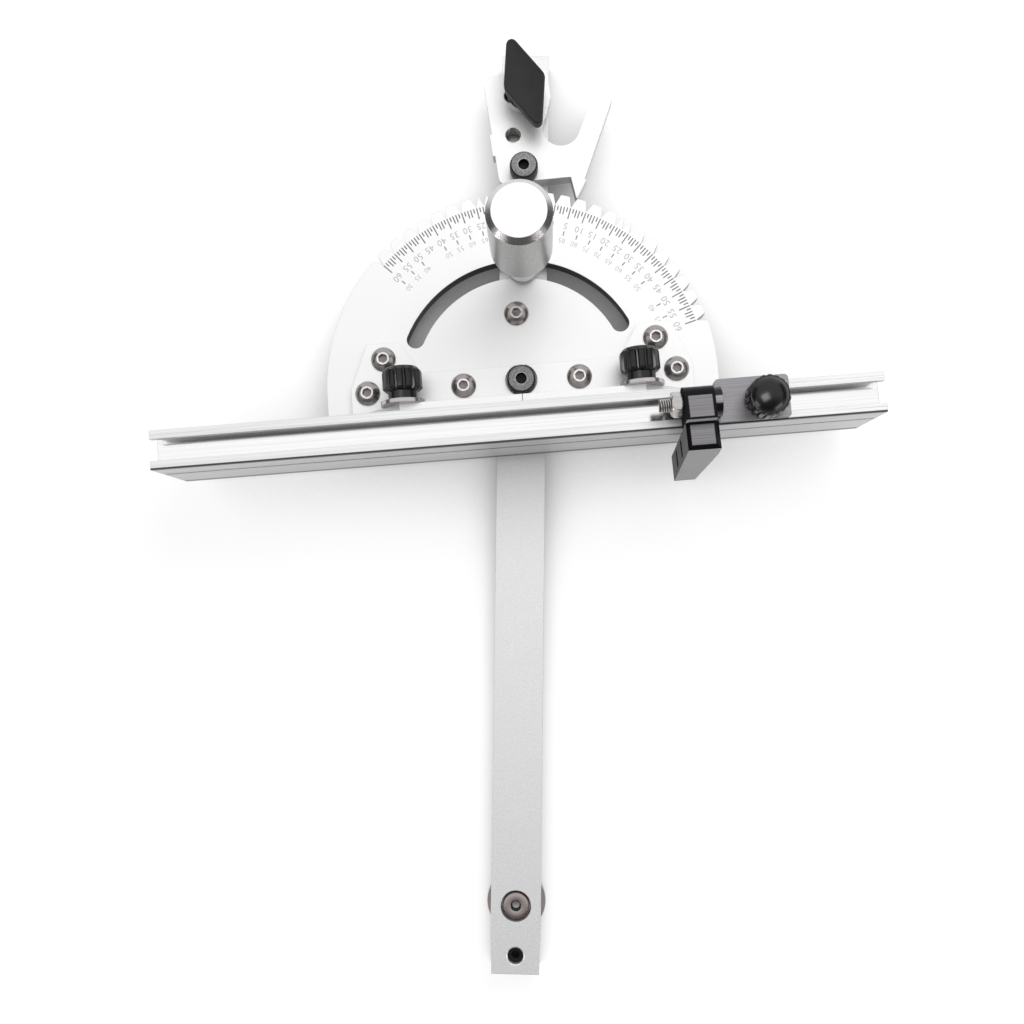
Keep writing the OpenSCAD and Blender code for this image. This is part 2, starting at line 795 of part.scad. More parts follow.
// T-shaped nut inside the fence's top slot
module stop_slot_nut() {
    neck = slot_w - 4 * run_gap;
    body = top_slot_in - 4 * run_gap;
    body_top = fence_top - top_lip_t - run_gap;
    color("gray") in_head() translate([stop_x, fence_mid, 0]) difference() {
        union() {
            translate([-slot_nut_len / 2, -body / 2, body_top - slot_nut_t])
                cube([slot_nut_len, body, slot_nut_t]);
            translate([-slot_nut_len / 2, -neck / 2, body_top - slot_nut_t])
                cube([slot_nut_len, neck, slot_nut_t + top_lip_t - run_gap]);
        }
        translate([0, 0, body_top - slot_nut_t - cut])
            cylinder(d = stop_stud_d + 2 * thread_gap, h = slot_nut_t + top_lip_t + 3 * cut);
    }
}

module stop_stud() {
    bottom = fence_top - top_lip_t - run_gap - slot_nut_t;
    color("gray") in_head() translate([stop_x, fence_mid, bottom])
        cylinder(d = stop_stud_d, h = carrier_top + run_gap + stop_knob_h - 2 - bottom);
}

module stop_pivot_bolt() {
    color("gainsboro") in_head() translate([pivot_bolt_end, fence_mid, pivot_z]) rotate([0, 90, 0])
        cylinder(d = stop_stud_d, h = lug_left + lug_t - pivot_bolt_end);
}

module stop_pivot_nut() {
    color("gainsboro") in_head()
        translate([arm_left - run_gap - pivot_nut_t, fence_mid, pivot_z])
            rotate([0, 90, 0]) difference() {
                cylinder(d = pivot_nut_af / cos(30), h = pivot_nut_t, $fn = 6);
                translate([0, 0, -cut])
                    cylinder(d = stop_stud_d + 2 * thread_gap, h = pivot_nut_t + 2 * cut);
            }
}

// The flip arm about its pivot, with the finger hanging straight down in front of the fence
module stop_arm() {
    back = finger_back - fence_mid;
    front = back - finger_d;
    bottom = finger_bottom - pivot_z;
    top = arm_r - finger_step;
    bevel = 1.2;
    slot_len = 6.2;
    slot_h = 1.1;
    slot_deep = 2.5;
    slot_z = -14;
    slot_pitch = 13;
    color("#333333") in_head() translate([arm_left, fence_mid, pivot_z])
        rotate([-arm_angle, 0, 0]) difference() {
            union() {
                rotate([90, 0, 90]) linear_extrude(arm_w) {
                    circle(r = arm_r);
                    translate([back, -arm_r]) square([-back, 2 * arm_r]);
                }
                intersection() {
                    rotate([90, 0, 90]) linear_extrude(arm_w + finger_proud) polygon([
                        [back, top], [front + bevel, top], [front, top - bevel], [front, bottom + bevel],
                        [front + bevel, bottom], [back - bevel, bottom], [back, bottom + bevel]
                    ]);
                    translate([0, back, 0]) rotate([90, 0, 0]) linear_extrude(finger_d) polygon([
                        [bevel, top], [0, top - bevel], [0, bottom + bevel], [bevel, bottom],
                        [finger_tip_w - bevel, bottom], [finger_tip_w, bottom + bevel],
                        [arm_w + finger_proud, -arm_r], [arm_w + finger_proud, top - bevel],
                        [arm_w + finger_proud - bevel, top]
                    ]);
                }
            }
            rotate([0, 90, 0]) translate([0, 0, -cut])
                cylinder(d = stop_stud_d + 2 * shaft_gap, h = arm_w + 2 * cut);
            for (k = [0, 1])
                translate([-cut, (front + back - slot_len) / 2, slot_z - slot_pitch * k])
                    cube([cut + slot_deep, slot_len, slot_h]);
        }
}

module stop_knob() {
    radius = stop_knob_d / 2 - 0.9;
    dome_r = (radius * radius + stop_dome_h * stop_dome_h) / (2 * stop_dome_h);
    color("black") in_head() translate([stop_x, fence_mid, carrier_top + run_gap]) difference() {
        union() {
            fluted_grip(stop_knob_d, stop_knob_h, stop_flutes, stop_flute_d, edge_bevel);
            translate([0, 0, stop_knob_h]) intersection() {
                cylinder(r = radius, h = stop_dome_h);
                translate([0, 0, stop_dome_h - dome_r]) sphere(r = dome_r);
            }
        }
        translate([0, 0, -cut]) cylinder(d = stop_insert_d, h = stop_insert_h + cut);
    }
}

module stop_knob_insert() {
    color("goldenrod") in_head() translate([stop_x, fence_mid, carrier_top + run_gap])
        washer(stop_insert_d, stop_stud_d + 2 * shaft_gap, stop_insert_h);
}

miter_bar();
retaining_disc();
disc_screw();
bar_set_screw();
pivot_screw();
clamp_stud();
clamp_washer();
lever_pivot_screw();
lever_stud();
lever_washer();
head_plate();
bracket_left();
bracket_right();
bracket_screws_left();
bracket_screws_right();
centre_screw();
fence_bolt_left();
fence_bolt_right();
fence_washer_left();
fence_washer_right();
clamp_knob();
index_lever();
wing_knob();
wing_insert();
fence();
fence_knob_left();
fence_knob_right();
fence_knob_insert_left();
fence_knob_insert_right();
stop_carrier();
stop_slot_nut();
stop_stud();
stop_pivot_bolt();
stop_pivot_nut();
stop_arm();
stop_knob();
stop_knob_insert();
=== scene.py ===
import math

import bpy
from mathutils import Matrix, Vector


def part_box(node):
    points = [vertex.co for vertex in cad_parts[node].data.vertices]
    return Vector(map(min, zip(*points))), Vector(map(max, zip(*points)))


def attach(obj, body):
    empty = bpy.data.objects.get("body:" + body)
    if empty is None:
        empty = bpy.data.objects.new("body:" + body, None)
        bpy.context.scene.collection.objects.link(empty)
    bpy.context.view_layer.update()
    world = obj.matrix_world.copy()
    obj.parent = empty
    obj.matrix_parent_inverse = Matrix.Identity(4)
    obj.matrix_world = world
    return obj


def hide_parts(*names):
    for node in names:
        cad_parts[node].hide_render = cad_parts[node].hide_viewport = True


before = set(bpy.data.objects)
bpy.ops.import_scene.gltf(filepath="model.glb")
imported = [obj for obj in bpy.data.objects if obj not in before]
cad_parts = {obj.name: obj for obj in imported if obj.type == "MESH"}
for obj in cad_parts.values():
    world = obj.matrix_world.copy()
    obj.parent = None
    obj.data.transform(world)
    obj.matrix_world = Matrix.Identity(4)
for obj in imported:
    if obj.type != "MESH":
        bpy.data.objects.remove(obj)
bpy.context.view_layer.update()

# Sizes shared with the solids, in millimetres and degrees
MM = 0.001
HEAD_ANGLE = math.radians(5)
ARM_ANGLE = math.radians(8)
PLATE_LOW = 9.6
PLATE_TOP = 15.6
FOOT_TOP = 18.6
SLOT_R = 45
PIVOT_TO_LEVER = 85
PIVOT_TO_WING = 116.5
DISC_Y = -201
FENCE_MID = -20.85
FENCE_FRONT = -28.1
FENCE_KNOB_X, FENCE_KNOB_FOOT, FENCE_KNOB_Z = 45, -6.8, 28.5
STOP_KNOB_X = 85
ARM_LEFT, ARM_W, ARM_AXIS_Z = 55.7, 10.6, 52.7
KNOB_AXIS = (0, SLOT_R * MM, 0)
DISC_AXIS = (0, DISC_Y * MM, 0)

# Camera: a pinhole fitted to the outlines of the photograph
PICTURE_PIXELS, FOCAL_PIXELS = 1024, 975.253
SENSOR_WIDTH = 36
CAMERA_PLACE = Vector((9.849, -81.563, 391.03)) * MM
CAMERA_TURN = [math.radians(a) for a in (-4.631, -1.971, -0.547)]

camera_data = bpy.data.cameras.new("camera")
camera_data.sensor_width = SENSOR_WIDTH
camera_data.lens = FOCAL_PIXELS / PICTURE_PIXELS * SENSOR_WIDTH
camera_data.clip_start = 0.01
camera = bpy.data.objects.new("camera", camera_data)
bpy.context.scene.collection.objects.link(camera)
world_to_camera = Matrix.Identity(3)
for angle, axis in zip(CAMERA_TURN, "XYZ"):
    world_to_camera = Matrix.Rotation(angle, 3, axis) @ world_to_camera
camera.matrix_world = Matrix.Translation(CAMERA_PLACE) @ world_to_camera.transposed().to_4x4()
bpy.context.scene.camera = camera
bpy.context.scene.view_settings.view_transform = "Standard"


def head_point(x, y, z):
    """A point given in millimetres in the head's turned frame."""
    c, s = math.cos(HEAD_ANGLE), math.sin(HEAD_ANGLE)
    return Vector((x * c - y * s, x * s + y * c, z)) * MM


class Graph:
    """A material's node tree with short ways to add the nodes used here."""

    def __init__(self, name):
        self.material = bpy.data.materials.new(name)
        self.material.use_nodes = True
        self.tree = self.material.node_tree
        self.tree.nodes.clear()
        self.output = self.node("ShaderNodeOutputMaterial")
        self.shader = self.node("ShaderNodeBsdfPrincipled")
        self.link(self.shader.outputs[0], self.output.inputs[0])

    def node(self, kind, **settings):
        n = self.tree.nodes.new(kind)
        for key, value in settings.items():
            setattr(n, key, value)
        return n

    def link(self, source, target):
        self.tree.links.new(source, target)

    def coords(self, turn=0.0, scale=(1, 1, 1), centre=(0, 0, 0)):
        """Object coordinates, moved to a centre, turned about Z and then scaled."""
        place = self.node("ShaderNodeTexCoord").outputs["Object"]
        move = self.node("ShaderNodeMapping")
        move.inputs["Location"].default_value = [-c for c in centre]
        self.link(place, move.inputs["Vector"])
        spin = self.node("ShaderNodeMapping")
        spin.inputs["Rotation"].default_value = (0, 0, -turn)
        self.link(move.outputs[0], spin.inputs["Vector"])
        grow = self.node("ShaderNodeMapping")
        grow.inputs["Scale"].default_value = scale
        self.link(spin.outputs[0], grow.inputs["Vector"])
        return grow.outputs[0]

    def around(self, centre, scale):
        """Coordinates round a vertical axis: distance from it and height, so that marks run round it."""
        x, y, z = self.separate(self.coords(centre=centre))
        flat = self.node("ShaderNodeCombineXYZ")
        self.link(x, flat.inputs[0])
        self.link(y, flat.inputs[1])
        far = self.node("ShaderNodeVectorMath", operation="LENGTH")
        self.link(flat.outputs[0], far.inputs[0])
        join = self.node("ShaderNodeCombineXYZ")
        self.link(far.outputs["Value"], join.inputs[0])
        self.link(z, join.inputs[1])
        grow = self.node("ShaderNodeMapping")
        grow.inputs["Scale"].default_value = (scale, scale, scale)
        self.link(join.outputs[0], grow.inputs["Vector"])
        return grow.outputs[0]

    def facing(self, turn=0.0, tilt=0.0):
        """Sizes of the object-space normal's three parts, after a piece's own turn and tilt are undone."""
        normal = self.node("ShaderNodeTexCoord").outputs["Normal"]
        for kind, angle in (("Z_AXIS", -turn), ("X_AXIS", -tilt)):
            spin = self.node("ShaderNodeVectorRotate", rotation_type=kind)
            spin.inputs["Angle"].default_value = angle
            self.link(normal, spin.inputs["Vector"])
            normal = spin.outputs[0]
        size = self.node("ShaderNodeVectorMath", operation="ABSOLUTE")
        self.link(normal, size.inputs[0])
        return self.separate(size.outputs[0])

    def largest(self, values):
        """The largest of several values."""
        best = values[0]
        for value in values[1:]:
            n = self.node("ShaderNodeMath", operation="MAXIMUM")
            self.link(best, n.inputs[0])
            self.link(value, n.inputs[1])
            best = n.outputs[0]
        return best

    def noise(self, vector, scale, detail=3.0, rough=0.55):
        n = self.node("ShaderNodeTexNoise")
        n.inputs["Scale"].default_value = scale
        n.inputs["Detail"].default_value = detail
        n.inputs["Roughness"].default_value = rough
        self.link(vector, n.inputs["Vector"])
        return n.outputs["Fac"]

    def remap(self, value, low, high, to_low, to_high):
        n = self.node("ShaderNodeMapRange")
        for key, number in zip(("From Min", "From Max", "To Min", "To Max"), (low, high, to_low, to_high)):
            n.inputs[key].default_value = number
        self.link(value, n.inputs["Value"])
        return n.outputs[0]

    def blend(self, factor, first, second):
        n = self.node("ShaderNodeMix", data_type="RGBA")
        self.link(factor, n.inputs["Factor"])
        for key, value in (("A", first), ("B", second)):
            socket = [s for s in n.inputs if s.name == key and s.type == "RGBA"][0]
            if isinstance(value, (tuple, list)):
                socket.default_value = (*value, 1)
            else:
                self.link(value, socket)
        return [s for s in n.outputs if s.type == "RGBA"][0]

    def between(self, factor, first, second):
        """A number that runs from the first value to the second."""
        n = self.node("ShaderNodeMix", data_type="FLOAT")
        self.link(factor, n.inputs[0])
        for socket, value in zip((n.inputs[2], n.inputs[3]), (first, second)):
            if isinstance(value, (int, float)):
                socket.default_value = value
            else:
                self.link(value, socket)
        return n.outputs[0]

    def mottle(self, noise, dark, pale, low=0.28, high=0.72):
        """A tone that runs from dark to pale with a noise."""
        return self.blend(self.remap(noise, low, high, 0, 1), dark, pale)

    def separate(self, vector):
        n = self.node("ShaderNodeSeparateXYZ")
        self.link(vector, n.inputs[0])
        return list(n.outputs)

    def times(self, first, second):
        n = self.node("ShaderNodeMath", operation="MULTIPLY")
        self.link(first, n.inputs[0])
        self.link(second, n.inputs[1])
        return n.outputs[0]

    def inside(self, value, low, high, soft=0.15):
        """1 where a value in metres lies between two limits in millimetres."""
        rise = self.remap(value, (low - soft) * MM, (low + soft) * MM, 0, 1)
        fall = self.remap(value, (high - soft) * MM, (high + soft) * MM, 1, 0)
        return self.times(rise, fall)

    def bump(self, height, distance, normal=None):
        n = self.node("ShaderNodeBump")
        n.inputs["Strength"].default_value = 1.0
        n.inputs["Distance"].default_value = distance
        self.link(height, n.inputs["Height"])
        if normal is not None:
            self.link(normal, n.inputs["Normal"])
        return n.outputs[0]

    def bevel(self, radius):
        n = self.node("ShaderNodeBevel", samples=4)
        n.inputs["Radius"].default_value = radius
        return n.outputs[0]

    def edges(self, rounded):
        """1 on sharp edges and 0 on flats, from how far the rounded normal leans."""
        flat = self.node("ShaderNodeNewGeometry").outputs["Normal"]
        dot = self.node("ShaderNodeVectorMath", operation="DOT_PRODUCT")
        self.link(rounded, dot.inputs[0])
        self.link(flat, dot.inputs[1])
        return self.remap(dot.outputs["Value"], 0.995, 0.86, 0, 1)

    def grain(self, kind, turn=0.0, centre=(0, 0, 0)):
        """Fine and broad noise of a metal's finish: blast, brush, mill or turn."""
        if kind == "blast":
            return self.noise(self.coords(), 1700, 2.0, 0.7), self.noise(self.coords(), 60, 2)
        if kind == "brush":
            fine = self.noise(self.coords(turn, (14, 2400, 2400)), 1, 4, 0.6)
            return fine, self.noise(self.coords(turn, (3, 170, 170)), 1, 3)
        if kind == "mill":
            fine = self.noise(self.coords(turn, (700, 1100, 700)), 1, 3, 0.6)
            return fine, self.noise(self.coords(), 45, 2)
        return self.noise(self.around(centre, 2400), 1, 3, 0.6), self.noise(self.coords(), 90, 2)

    def set(self, **values):
        for key, value in values.items():
            self.shader.inputs[key.replace("_", " ")].default_value = value


def shade(colour, factor):
    return tuple(min(c * factor, 1.0) for c in colour)


# How far a metal's roughness strays to each side, and the painted shade of upright faces inside its well
ROUGH_SPREAD, WELL_SHADE = 0.08, 0.05


def metal(name, colour, rough, kind, depth, contrast, turn=0.0, centre=(0, 0, 0), edge=0.3, edge_tone=0.7,
          metallic=0.5, wall_shade=1.0, slope_light=1.0, level=0.5, well=0):
    """Bare or anodised metal. kind is the grain, and depth, edge and well are in millimetres. walls and
    slopes scale the colour of upright and of sloping faces, a painted shade on upright faces and a painted
    light on sloping ones. Within the radius well, upright faces are painted nearly black, a painted shade in
    deep slots. edge_tone scales the colour along sharp edges: below 1 it paints thin lines of shade along
    them, above 1 it makes them paler."""
    g = Graph(name)
    fine, broad = g.grain(kind, turn, centre)
    rounded = g.bevel(edge * MM)
    rim = g.edges(rounded)
    tone = g.mottle(fine, shade(colour, 1 - contrast), shade(colour, 1 + contrast))
    tone = g.blend(g.remap(broad, 0.3, 0.7, 0, 0.35), tone, shade(colour, 1 - contrast * 0.6))
    up = g.facing()[2] if wall_shade != 1.0 or slope_light != 1.0 else None
    # Painted shade: upright faces take a darker copy of the colour.
    if wall_shade != 1.0:
        wall = g.mottle(fine, shade(colour, wall_shade * (1 - contrast)), shade(colour, wall_shade * (1 + contrast)))
        # Painted shade: upright faces within the radius well are nearly black.
        if well:
            far = g.node("ShaderNodeVectorMath", operation="LENGTH")
            g.link(g.coords(), far.inputs[0])
            within = g.remap(far.outputs["Value"], well * MM, (well + 2) * MM, 1, 0)
            wall = g.blend(within, wall, shade(colour, WELL_SHADE))
        tone = g.blend(g.remap(up, 0.5, 0.2, 0, 1), tone, wall)
    # Painted light: sloping faces take a scaled copy of the colour, paler on the bar.
    if slope_light != 1.0:
        level_or_upright = g.largest([g.remap(up, 0.93, 0.97, 0, 1), g.remap(up, 0.4, 0.3, 0, 1)])
        tone = g.blend(g.remap(level_or_upright, 0, 1, 1, 0), tone, shade(colour, slope_light))
    # Painted tone along sharp edges: lines of shade on pale metal, paler edges on dark metal.
    tone = g.blend(g.remap(rim, 0, 1, 0, 0.7), tone, shade(colour, edge_tone))
    g.link(tone, g.shader.inputs["Base Color"])
    satin = g.remap(fine, 0.25, 0.75, rough - ROUGH_SPREAD, rough + ROUGH_SPREAD)
    g.link(satin, g.shader.inputs["Roughness"])
    g.link(g.bump(fine, depth * MM, rounded), g.shader.inputs["Normal"])
    g.set(Metallic=metallic, Specular_IOR_Level=level)
    return g.material


def plastic(name, colour, rough, depth, scale, edge, edge_highlight, level):
    """Moulded plastic with a faint pebble and polished edges painted paler, a painted highlight. depth and
    edge are in millimetres.
    """
    g = Graph(name)
    fine = g.noise(g.coords(), scale, 3, 0.6)
    broad = g.noise(g.coords(), 120, 2)
    rounded = g.bevel(edge * MM)
    rim = g.edges(rounded)
    tone = g.blend(g.remap(broad, 0.3, 0.7, 0, 1), shade(colour, 0.82), shade(colour, 1.2))
    # Painted highlight: sharp edges take a paler copy of the colour.
    tone = g.blend(g.remap(rim, 0, 1, 0, 0.5), tone, shade(colour, edge_highlight))
    g.link(tone, g.shader.inputs["Base Color"])
    g.link(g.remap(broad, 0.3, 0.7, rough * 0.85, rough * 1.2), g.shader.inputs["Roughness"])
    g.link(g.bump(fine, depth * MM, rounded), g.shader.inputs["Normal"])
    g.set(Metallic=0.0, Specular_IOR_Level=level)
    return g.material


# Heights between which the clamp knob's grip gives way to its neck, painted pale as painted light in the
# shade under the knob
NECK_LOW, NECK_HIGH = 30, 32


def knob_finish():
    """The turned clamp knob: satin end face, polished bevel, a fine blasted grip, and a neck painted pale,
    a painted light in the shade under the knob.
    """
    g = Graph("knob_metal")
    fine, broad = g.grain("blast")
    up = g.facing()[2]
    end = g.remap(up, 0.93, 0.97, 0, 1)
    grip = g.remap(up, 0.5, 0.35, 0, 1)
    side = g.mottle(fine, (0.36, 0.36, 0.355), (0.70, 0.70, 0.69), 0.3, 0.7)
    side = g.blend(g.remap(broad, 0.3, 0.7, 0, 0.4), side, (0.55, 0.55, 0.545))
    tone = g.blend(grip, (0.64, 0.61, 0.61), side)
    tone = g.blend(end, tone, (0.93, 0.93, 0.935))
    # Painted light: the neck in the shade under the knob is painted nearly white.
    neck = g.remap(g.separate(g.coords())[2], NECK_LOW * MM, NECK_HIGH * MM, 1, 0)
    tone = g.blend(neck, tone, (0.95, 0.95, 0.95))
    g.link(tone, g.shader.inputs["Base Color"])
    satin = g.remap(fine, 0.25, 0.75, 0.30, 0.44)
    g.link(g.between(g.largest([grip, end]), 0.20, satin), g.shader.inputs["Roughness"])
    body_metal = g.between(end, g.between(grip, 1.0, 0.75), 0.45)
    g.link(g.between(neck, body_metal, 0.1), g.shader.inputs["Metallic"])
    g.link(g.bump(fine, 0.012 * MM, g.bevel(0.2 * MM)), g.shader.inputs["Normal"])
    return g.material


# Tones of the flip stop's brushed panels, their grey partly brush grain and partly a painted reflection on
# level faces, and how much paler the carrier's are than the arm's
PANEL_DARK, PANEL_PALE, PANEL_MID = (0.14, 0.135, 0.145), (0.30, 0.29, 0.305), (0.22, 0.212, 0.225)
CARRIER_LIFT = 1.45

# Places on the flip stop's arm: its panels' borders along the pivot and spans across the fence, the finger's
# back and its slotted side, and the lower edges, height and span of the dark bands painted over the two
# slots, a painted shade that reaches past the slots' own edges
ARM_BORDERS = 1.3, 1.1
ARM_PANELS = (-6.7, 1.0), (-15.8, -8.6)
FINGER_BACK, FINGER_SIDE = -7.2, 2.7
SLOT_SHADE_LOWS, SLOT_SHADE_H, SLOT_SHADE_SPAN = (-15.1, -28.1), 3.2, (-15.3, -9.1)


def anodised_black(name, arm=False):
    """Black anodised pieces of the flip stop: brushed panels between polished black borders, the panels'
    grey partly a painted reflection on level faces. The arm's upright faces in front of the fence are a
    matte grey, painted darker on the sides than on the front as painted shade, and its two side slots are
    painted dark as painted shade, over bands wider than the slots."""
    g = Graph(name)
    fine, broad = g.grain("brush", HEAD_ANGLE)
    lift = 1.0 if arm else CARRIER_LIFT
    brushed = g.mottle(fine, shade(PANEL_DARK, lift), shade(PANEL_PALE, lift), 0.3, 0.7)
    brushed = g.blend(g.remap(broad, 0.3, 0.7, 0, 0.5), brushed, shade(PANEL_MID, lift))
    rounded = g.bevel(0.25 * MM)
    parts = g.facing(HEAD_ANGLE, -ARM_ANGLE if arm else 0.0)
    flat = g.remap(parts[2], 0.955, 0.985, 0, 1)
    if arm:
        middle = head_point(ARM_LEFT, FENCE_MID, ARM_AXIS_Z)
        lean = g.node("ShaderNodeVectorRotate", rotation_type="X_AXIS")
        lean.inputs["Angle"].default_value = ARM_ANGLE
        g.link(g.coords(HEAD_ANGLE, centre=middle), lean.inputs["Vector"])
        along, across, height = g.separate(lean.outputs[0])
        width = g.inside(along, ARM_BORDERS[0], ARM_W - ARM_BORDERS[1])
        depth = g.largest([g.inside(across, *span) for span in ARM_PANELS])
        flat = g.times(flat, g.times(width, depth))
    # Painted reflection: level panels take a paler brushed grey, partly brush grain; the rest stays black.
    tone = g.blend(flat, (0.006, 0.006, 0.007), brushed)
    if arm:
        upright_face = g.remap(g.largest(parts[:2]), 0.955, 0.985, 0, 1)
        finger = g.remap(across, FINGER_BACK * MM, (FINGER_BACK - 0.3) * MM, 0, 1)
        matte = g.mottle(fine, (0.39, 0.385, 0.386), (0.45, 0.445, 0.446), 0.3, 0.7)
        # Painted shade: the finger's sides are darker than its front.
        matte = g.blend(g.remap(parts[0], 0.8, 0.95, 0, 1), matte, (0.20, 0.196, 0.194))
        tone = g.blend(g.times(upright_face, finger), tone, matte)
        # Painted shade: dark bands over the finger's two slots, wider than the slots.
        slots = g.largest([g.inside(height, low, low + SLOT_SHADE_H, 0.2) for low in SLOT_SHADE_LOWS])
        slots = g.times(slots, g.inside(across, *SLOT_SHADE_SPAN, 0.3))
        slots = g.times(slots, g.remap(along, FINGER_SIDE * MM, (FINGER_SIDE + 0.1) * MM, 1, 0))
        tone = g.blend(slots, tone, (0.004, 0.004, 0.004))
    tone = g.blend(g.remap(g.edges(rounded), 0, 1, 0, 0.8), tone, (0.012, 0.012, 0.013))
    g.link(tone, g.shader.inputs["Base Color"])
    polish = g.between(g.remap(parts[2], 0.2, 0.4, 0, 1), 0.75, 0.2) if arm else 0.2
    g.link(g.between(flat, polish, g.remap(fine, 0.25, 0.75, 0.30, 0.50)), g.shader.inputs["Roughness"])
    g.link(g.bump(fine, 0.008 * MM, rounded), g.shader.inputs["Normal"])
    g.set(Metallic=0.0, Specular_IOR_Level=0.08 if arm else 0.3)
    return g.material


def ink_material(name, dark, pale):
    """Ink of the scale's marks and numbers, with a fine speckle."""
    g = Graph(name)
    fine = g.noise(g.coords(), 1600, 2)
    g.link(g.mottle(fine, dark, pale, 0.3, 0.7), g.shader.inputs["Base Color"])
    g.link(g.remap(fine, 0.3, 0.7, 0.5, 0.75), g.shader.inputs["Roughness"])
    g.link(g.bump(fine, 0.004 * MM), g.shader.inputs["Normal"])
    g.set(Specular_IOR_Level=0.2)
    return g.material


# Heights of the dark lines painted on the fence's front face, and half their widths: a painted reflection
# along the top edge, and painted shade in the groove and along the lower edge
PAINTED_FRONT_LINES = ((45.9, 0.7), (33.5, 1.0), (12.2, 1.8))

# Level faces of the fence below this height are the polished floors of its slots, given a paler tone as
# painted light
SLOT_FLOOR_TOP = 44


def fence_finish():
    """Brushed extrusion: pale top, upright faces painted greyer as painted shade, dark lines painted on
    the front as painted reflection and shade, and slot floors painted paler as painted light.
    """
    g = Graph("fence_metal")
    fine, broad = g.grain("brush", HEAD_ANGLE)
    rounded = g.bevel(0.3 * MM)
    up = g.facing()[2]
    top = g.mottle(fine, (0.72, 0.72, 0.73), (0.96, 0.96, 0.965))
    # Painted shade: upright faces take a greyer tone than the top.
    side = g.mottle(fine, (0.42, 0.41, 0.42), (0.56, 0.55, 0.56))
    tone = g.blend(g.remap(up, 0.5, 0.2, 0, 1), top, side)
    tone = g.blend(g.remap(broad, 0.35, 0.7, 0, 0.25), tone, (0.70, 0.70, 0.71))
    _, across, height = g.separate(g.coords(HEAD_ANGLE))
    front = g.remap(across, (FENCE_FRONT + 0.8) * MM, (FENCE_FRONT + 0.6) * MM, 0, 1)
    lines = []
    for middle, half in PAINTED_FRONT_LINES:
        away = g.node("ShaderNodeMath", operation="SUBTRACT")
        g.link(height, away.inputs[0])
        away.inputs[1].default_value = middle * MM
        size = g.node("ShaderNodeMath", operation="ABSOLUTE")
        g.link(away.outputs[0], size.inputs[0])
        lines.append(g.remap(size.outputs[0], half * MM, (half + 0.3) * MM, 1, 0))
    # Painted reflection and shade: dark lines across the front face.
    tone = g.blend(g.times(g.largest(lines), front), tone, (0.05, 0.045, 0.05))
    # Painted shade: grey lines along sharp edges.
    tone = g.blend(g.remap(g.edges(rounded), 0, 1, 0, 0.5), tone, (0.5, 0.5, 0.51))
    # Painted light: the slot floors take a paler tone.
    low_down = g.remap(height, SLOT_FLOOR_TOP * MM, (SLOT_FLOOR_TOP + 1) * MM, 1, 0)
    sunk = g.times(low_down, g.remap(up, 0.7, 0.9, 0, 1))
    tone = g.blend(sunk, tone, g.mottle(fine, (0.88, 0.88, 0.89), (1.0, 1.0, 1.0)))
    g.link(tone, g.shader.inputs["Base Color"])
    g.link(g.between(sunk, g.remap(fine, 0.25, 0.75, 0.24, 0.40), 0.12), g.shader.inputs["Roughness"])
    g.link(g.between(sunk, 0.4, 1.0), g.shader.inputs["Metallic"])
    g.link(g.bump(fine, 0.005 * MM, rounded), g.shader.inputs["Normal"])
    return g.material


# walls darkens upright faces as painted shade, slopes makes the bar's sloping faces paler as painted light,
# well paints the upright faces round the plate's arc slot nearly black as painted shade, and edge_tone under
# 1 paints lines of shade along edges.
bar_metal = metal("bar_metal", (0.97, 0.965, 0.98), 0.45, "blast", 0.03, 0.16, edge_tone=0.45,
                  metallic=0.75, wall_shade=0.6, slope_light=1.3)
plate_metal = metal("plate_metal", (0.98, 0.98, 0.982), 0.42, "mill", 0.0008, 0.01, edge=0.25,
                    edge_tone=0.45, metallic=0.65, wall_shade=0.3, well=56)
lever_metal = metal("lever_metal", (0.98, 0.98, 0.982), 0.42, "mill", 0.0008, 0.01, edge=0.25,
                    edge_tone=0.6, metallic=0.65, wall_shade=0.65)
bracket_metal = metal("bracket_metal", (0.98, 0.98, 0.982), 0.40, "brush", 0.0008, 0.015,
                      turn=HEAD_ANGLE, edge=0.25, edge_tone=0.5, metallic=0.65, wall_shade=0.75)
fence_metal = fence_finish()
stainless = metal("stainless", (0.37, 0.34, 0.33), 0.22, "mill", 0.003, 0.10, edge=0.12, edge_tone=0.35,
                  metallic=0.9)
socket_rim = metal("socket_rim", (0.93, 0.92, 0.92), 0.25, "mill", 0.002, 0.03, edge=0.1, edge_tone=0.9)
socket_inside = metal("socket_inside", (0.26, 0.24, 0.235), 0.30, "mill", 0.004, 0.25, edge=0.1,
                      metallic=0.8)
disc_steel = metal("disc_steel", (0.40, 0.345, 0.325), 0.24, "turn", 0.006, 0.15, centre=DISC_AXIS,
                   edge=0.2, edge_tone=0.4, metallic=0.9)
bright_steel = metal("bright_steel", (0.52, 0.50, 0.49), 0.20, "mill", 0.002, 0.08, edge=0.2,
                     edge_tone=0.25, metallic=0.9)
thread_steel = metal("thread_steel", (0.80, 0.78, 0.76), 0.20, "mill", 0.002, 0.12, edge=0.05,
                     edge_tone=0.5, metallic=0.9)
# Dark tone of the bolt thread's roots, a painted shade.
thread_root_shade = metal("thread_root_shade", (0.10, 0.085, 0.078), 0.40, "mill", 0.002, 0.2, edge=0.05,
                    metallic=0.6)
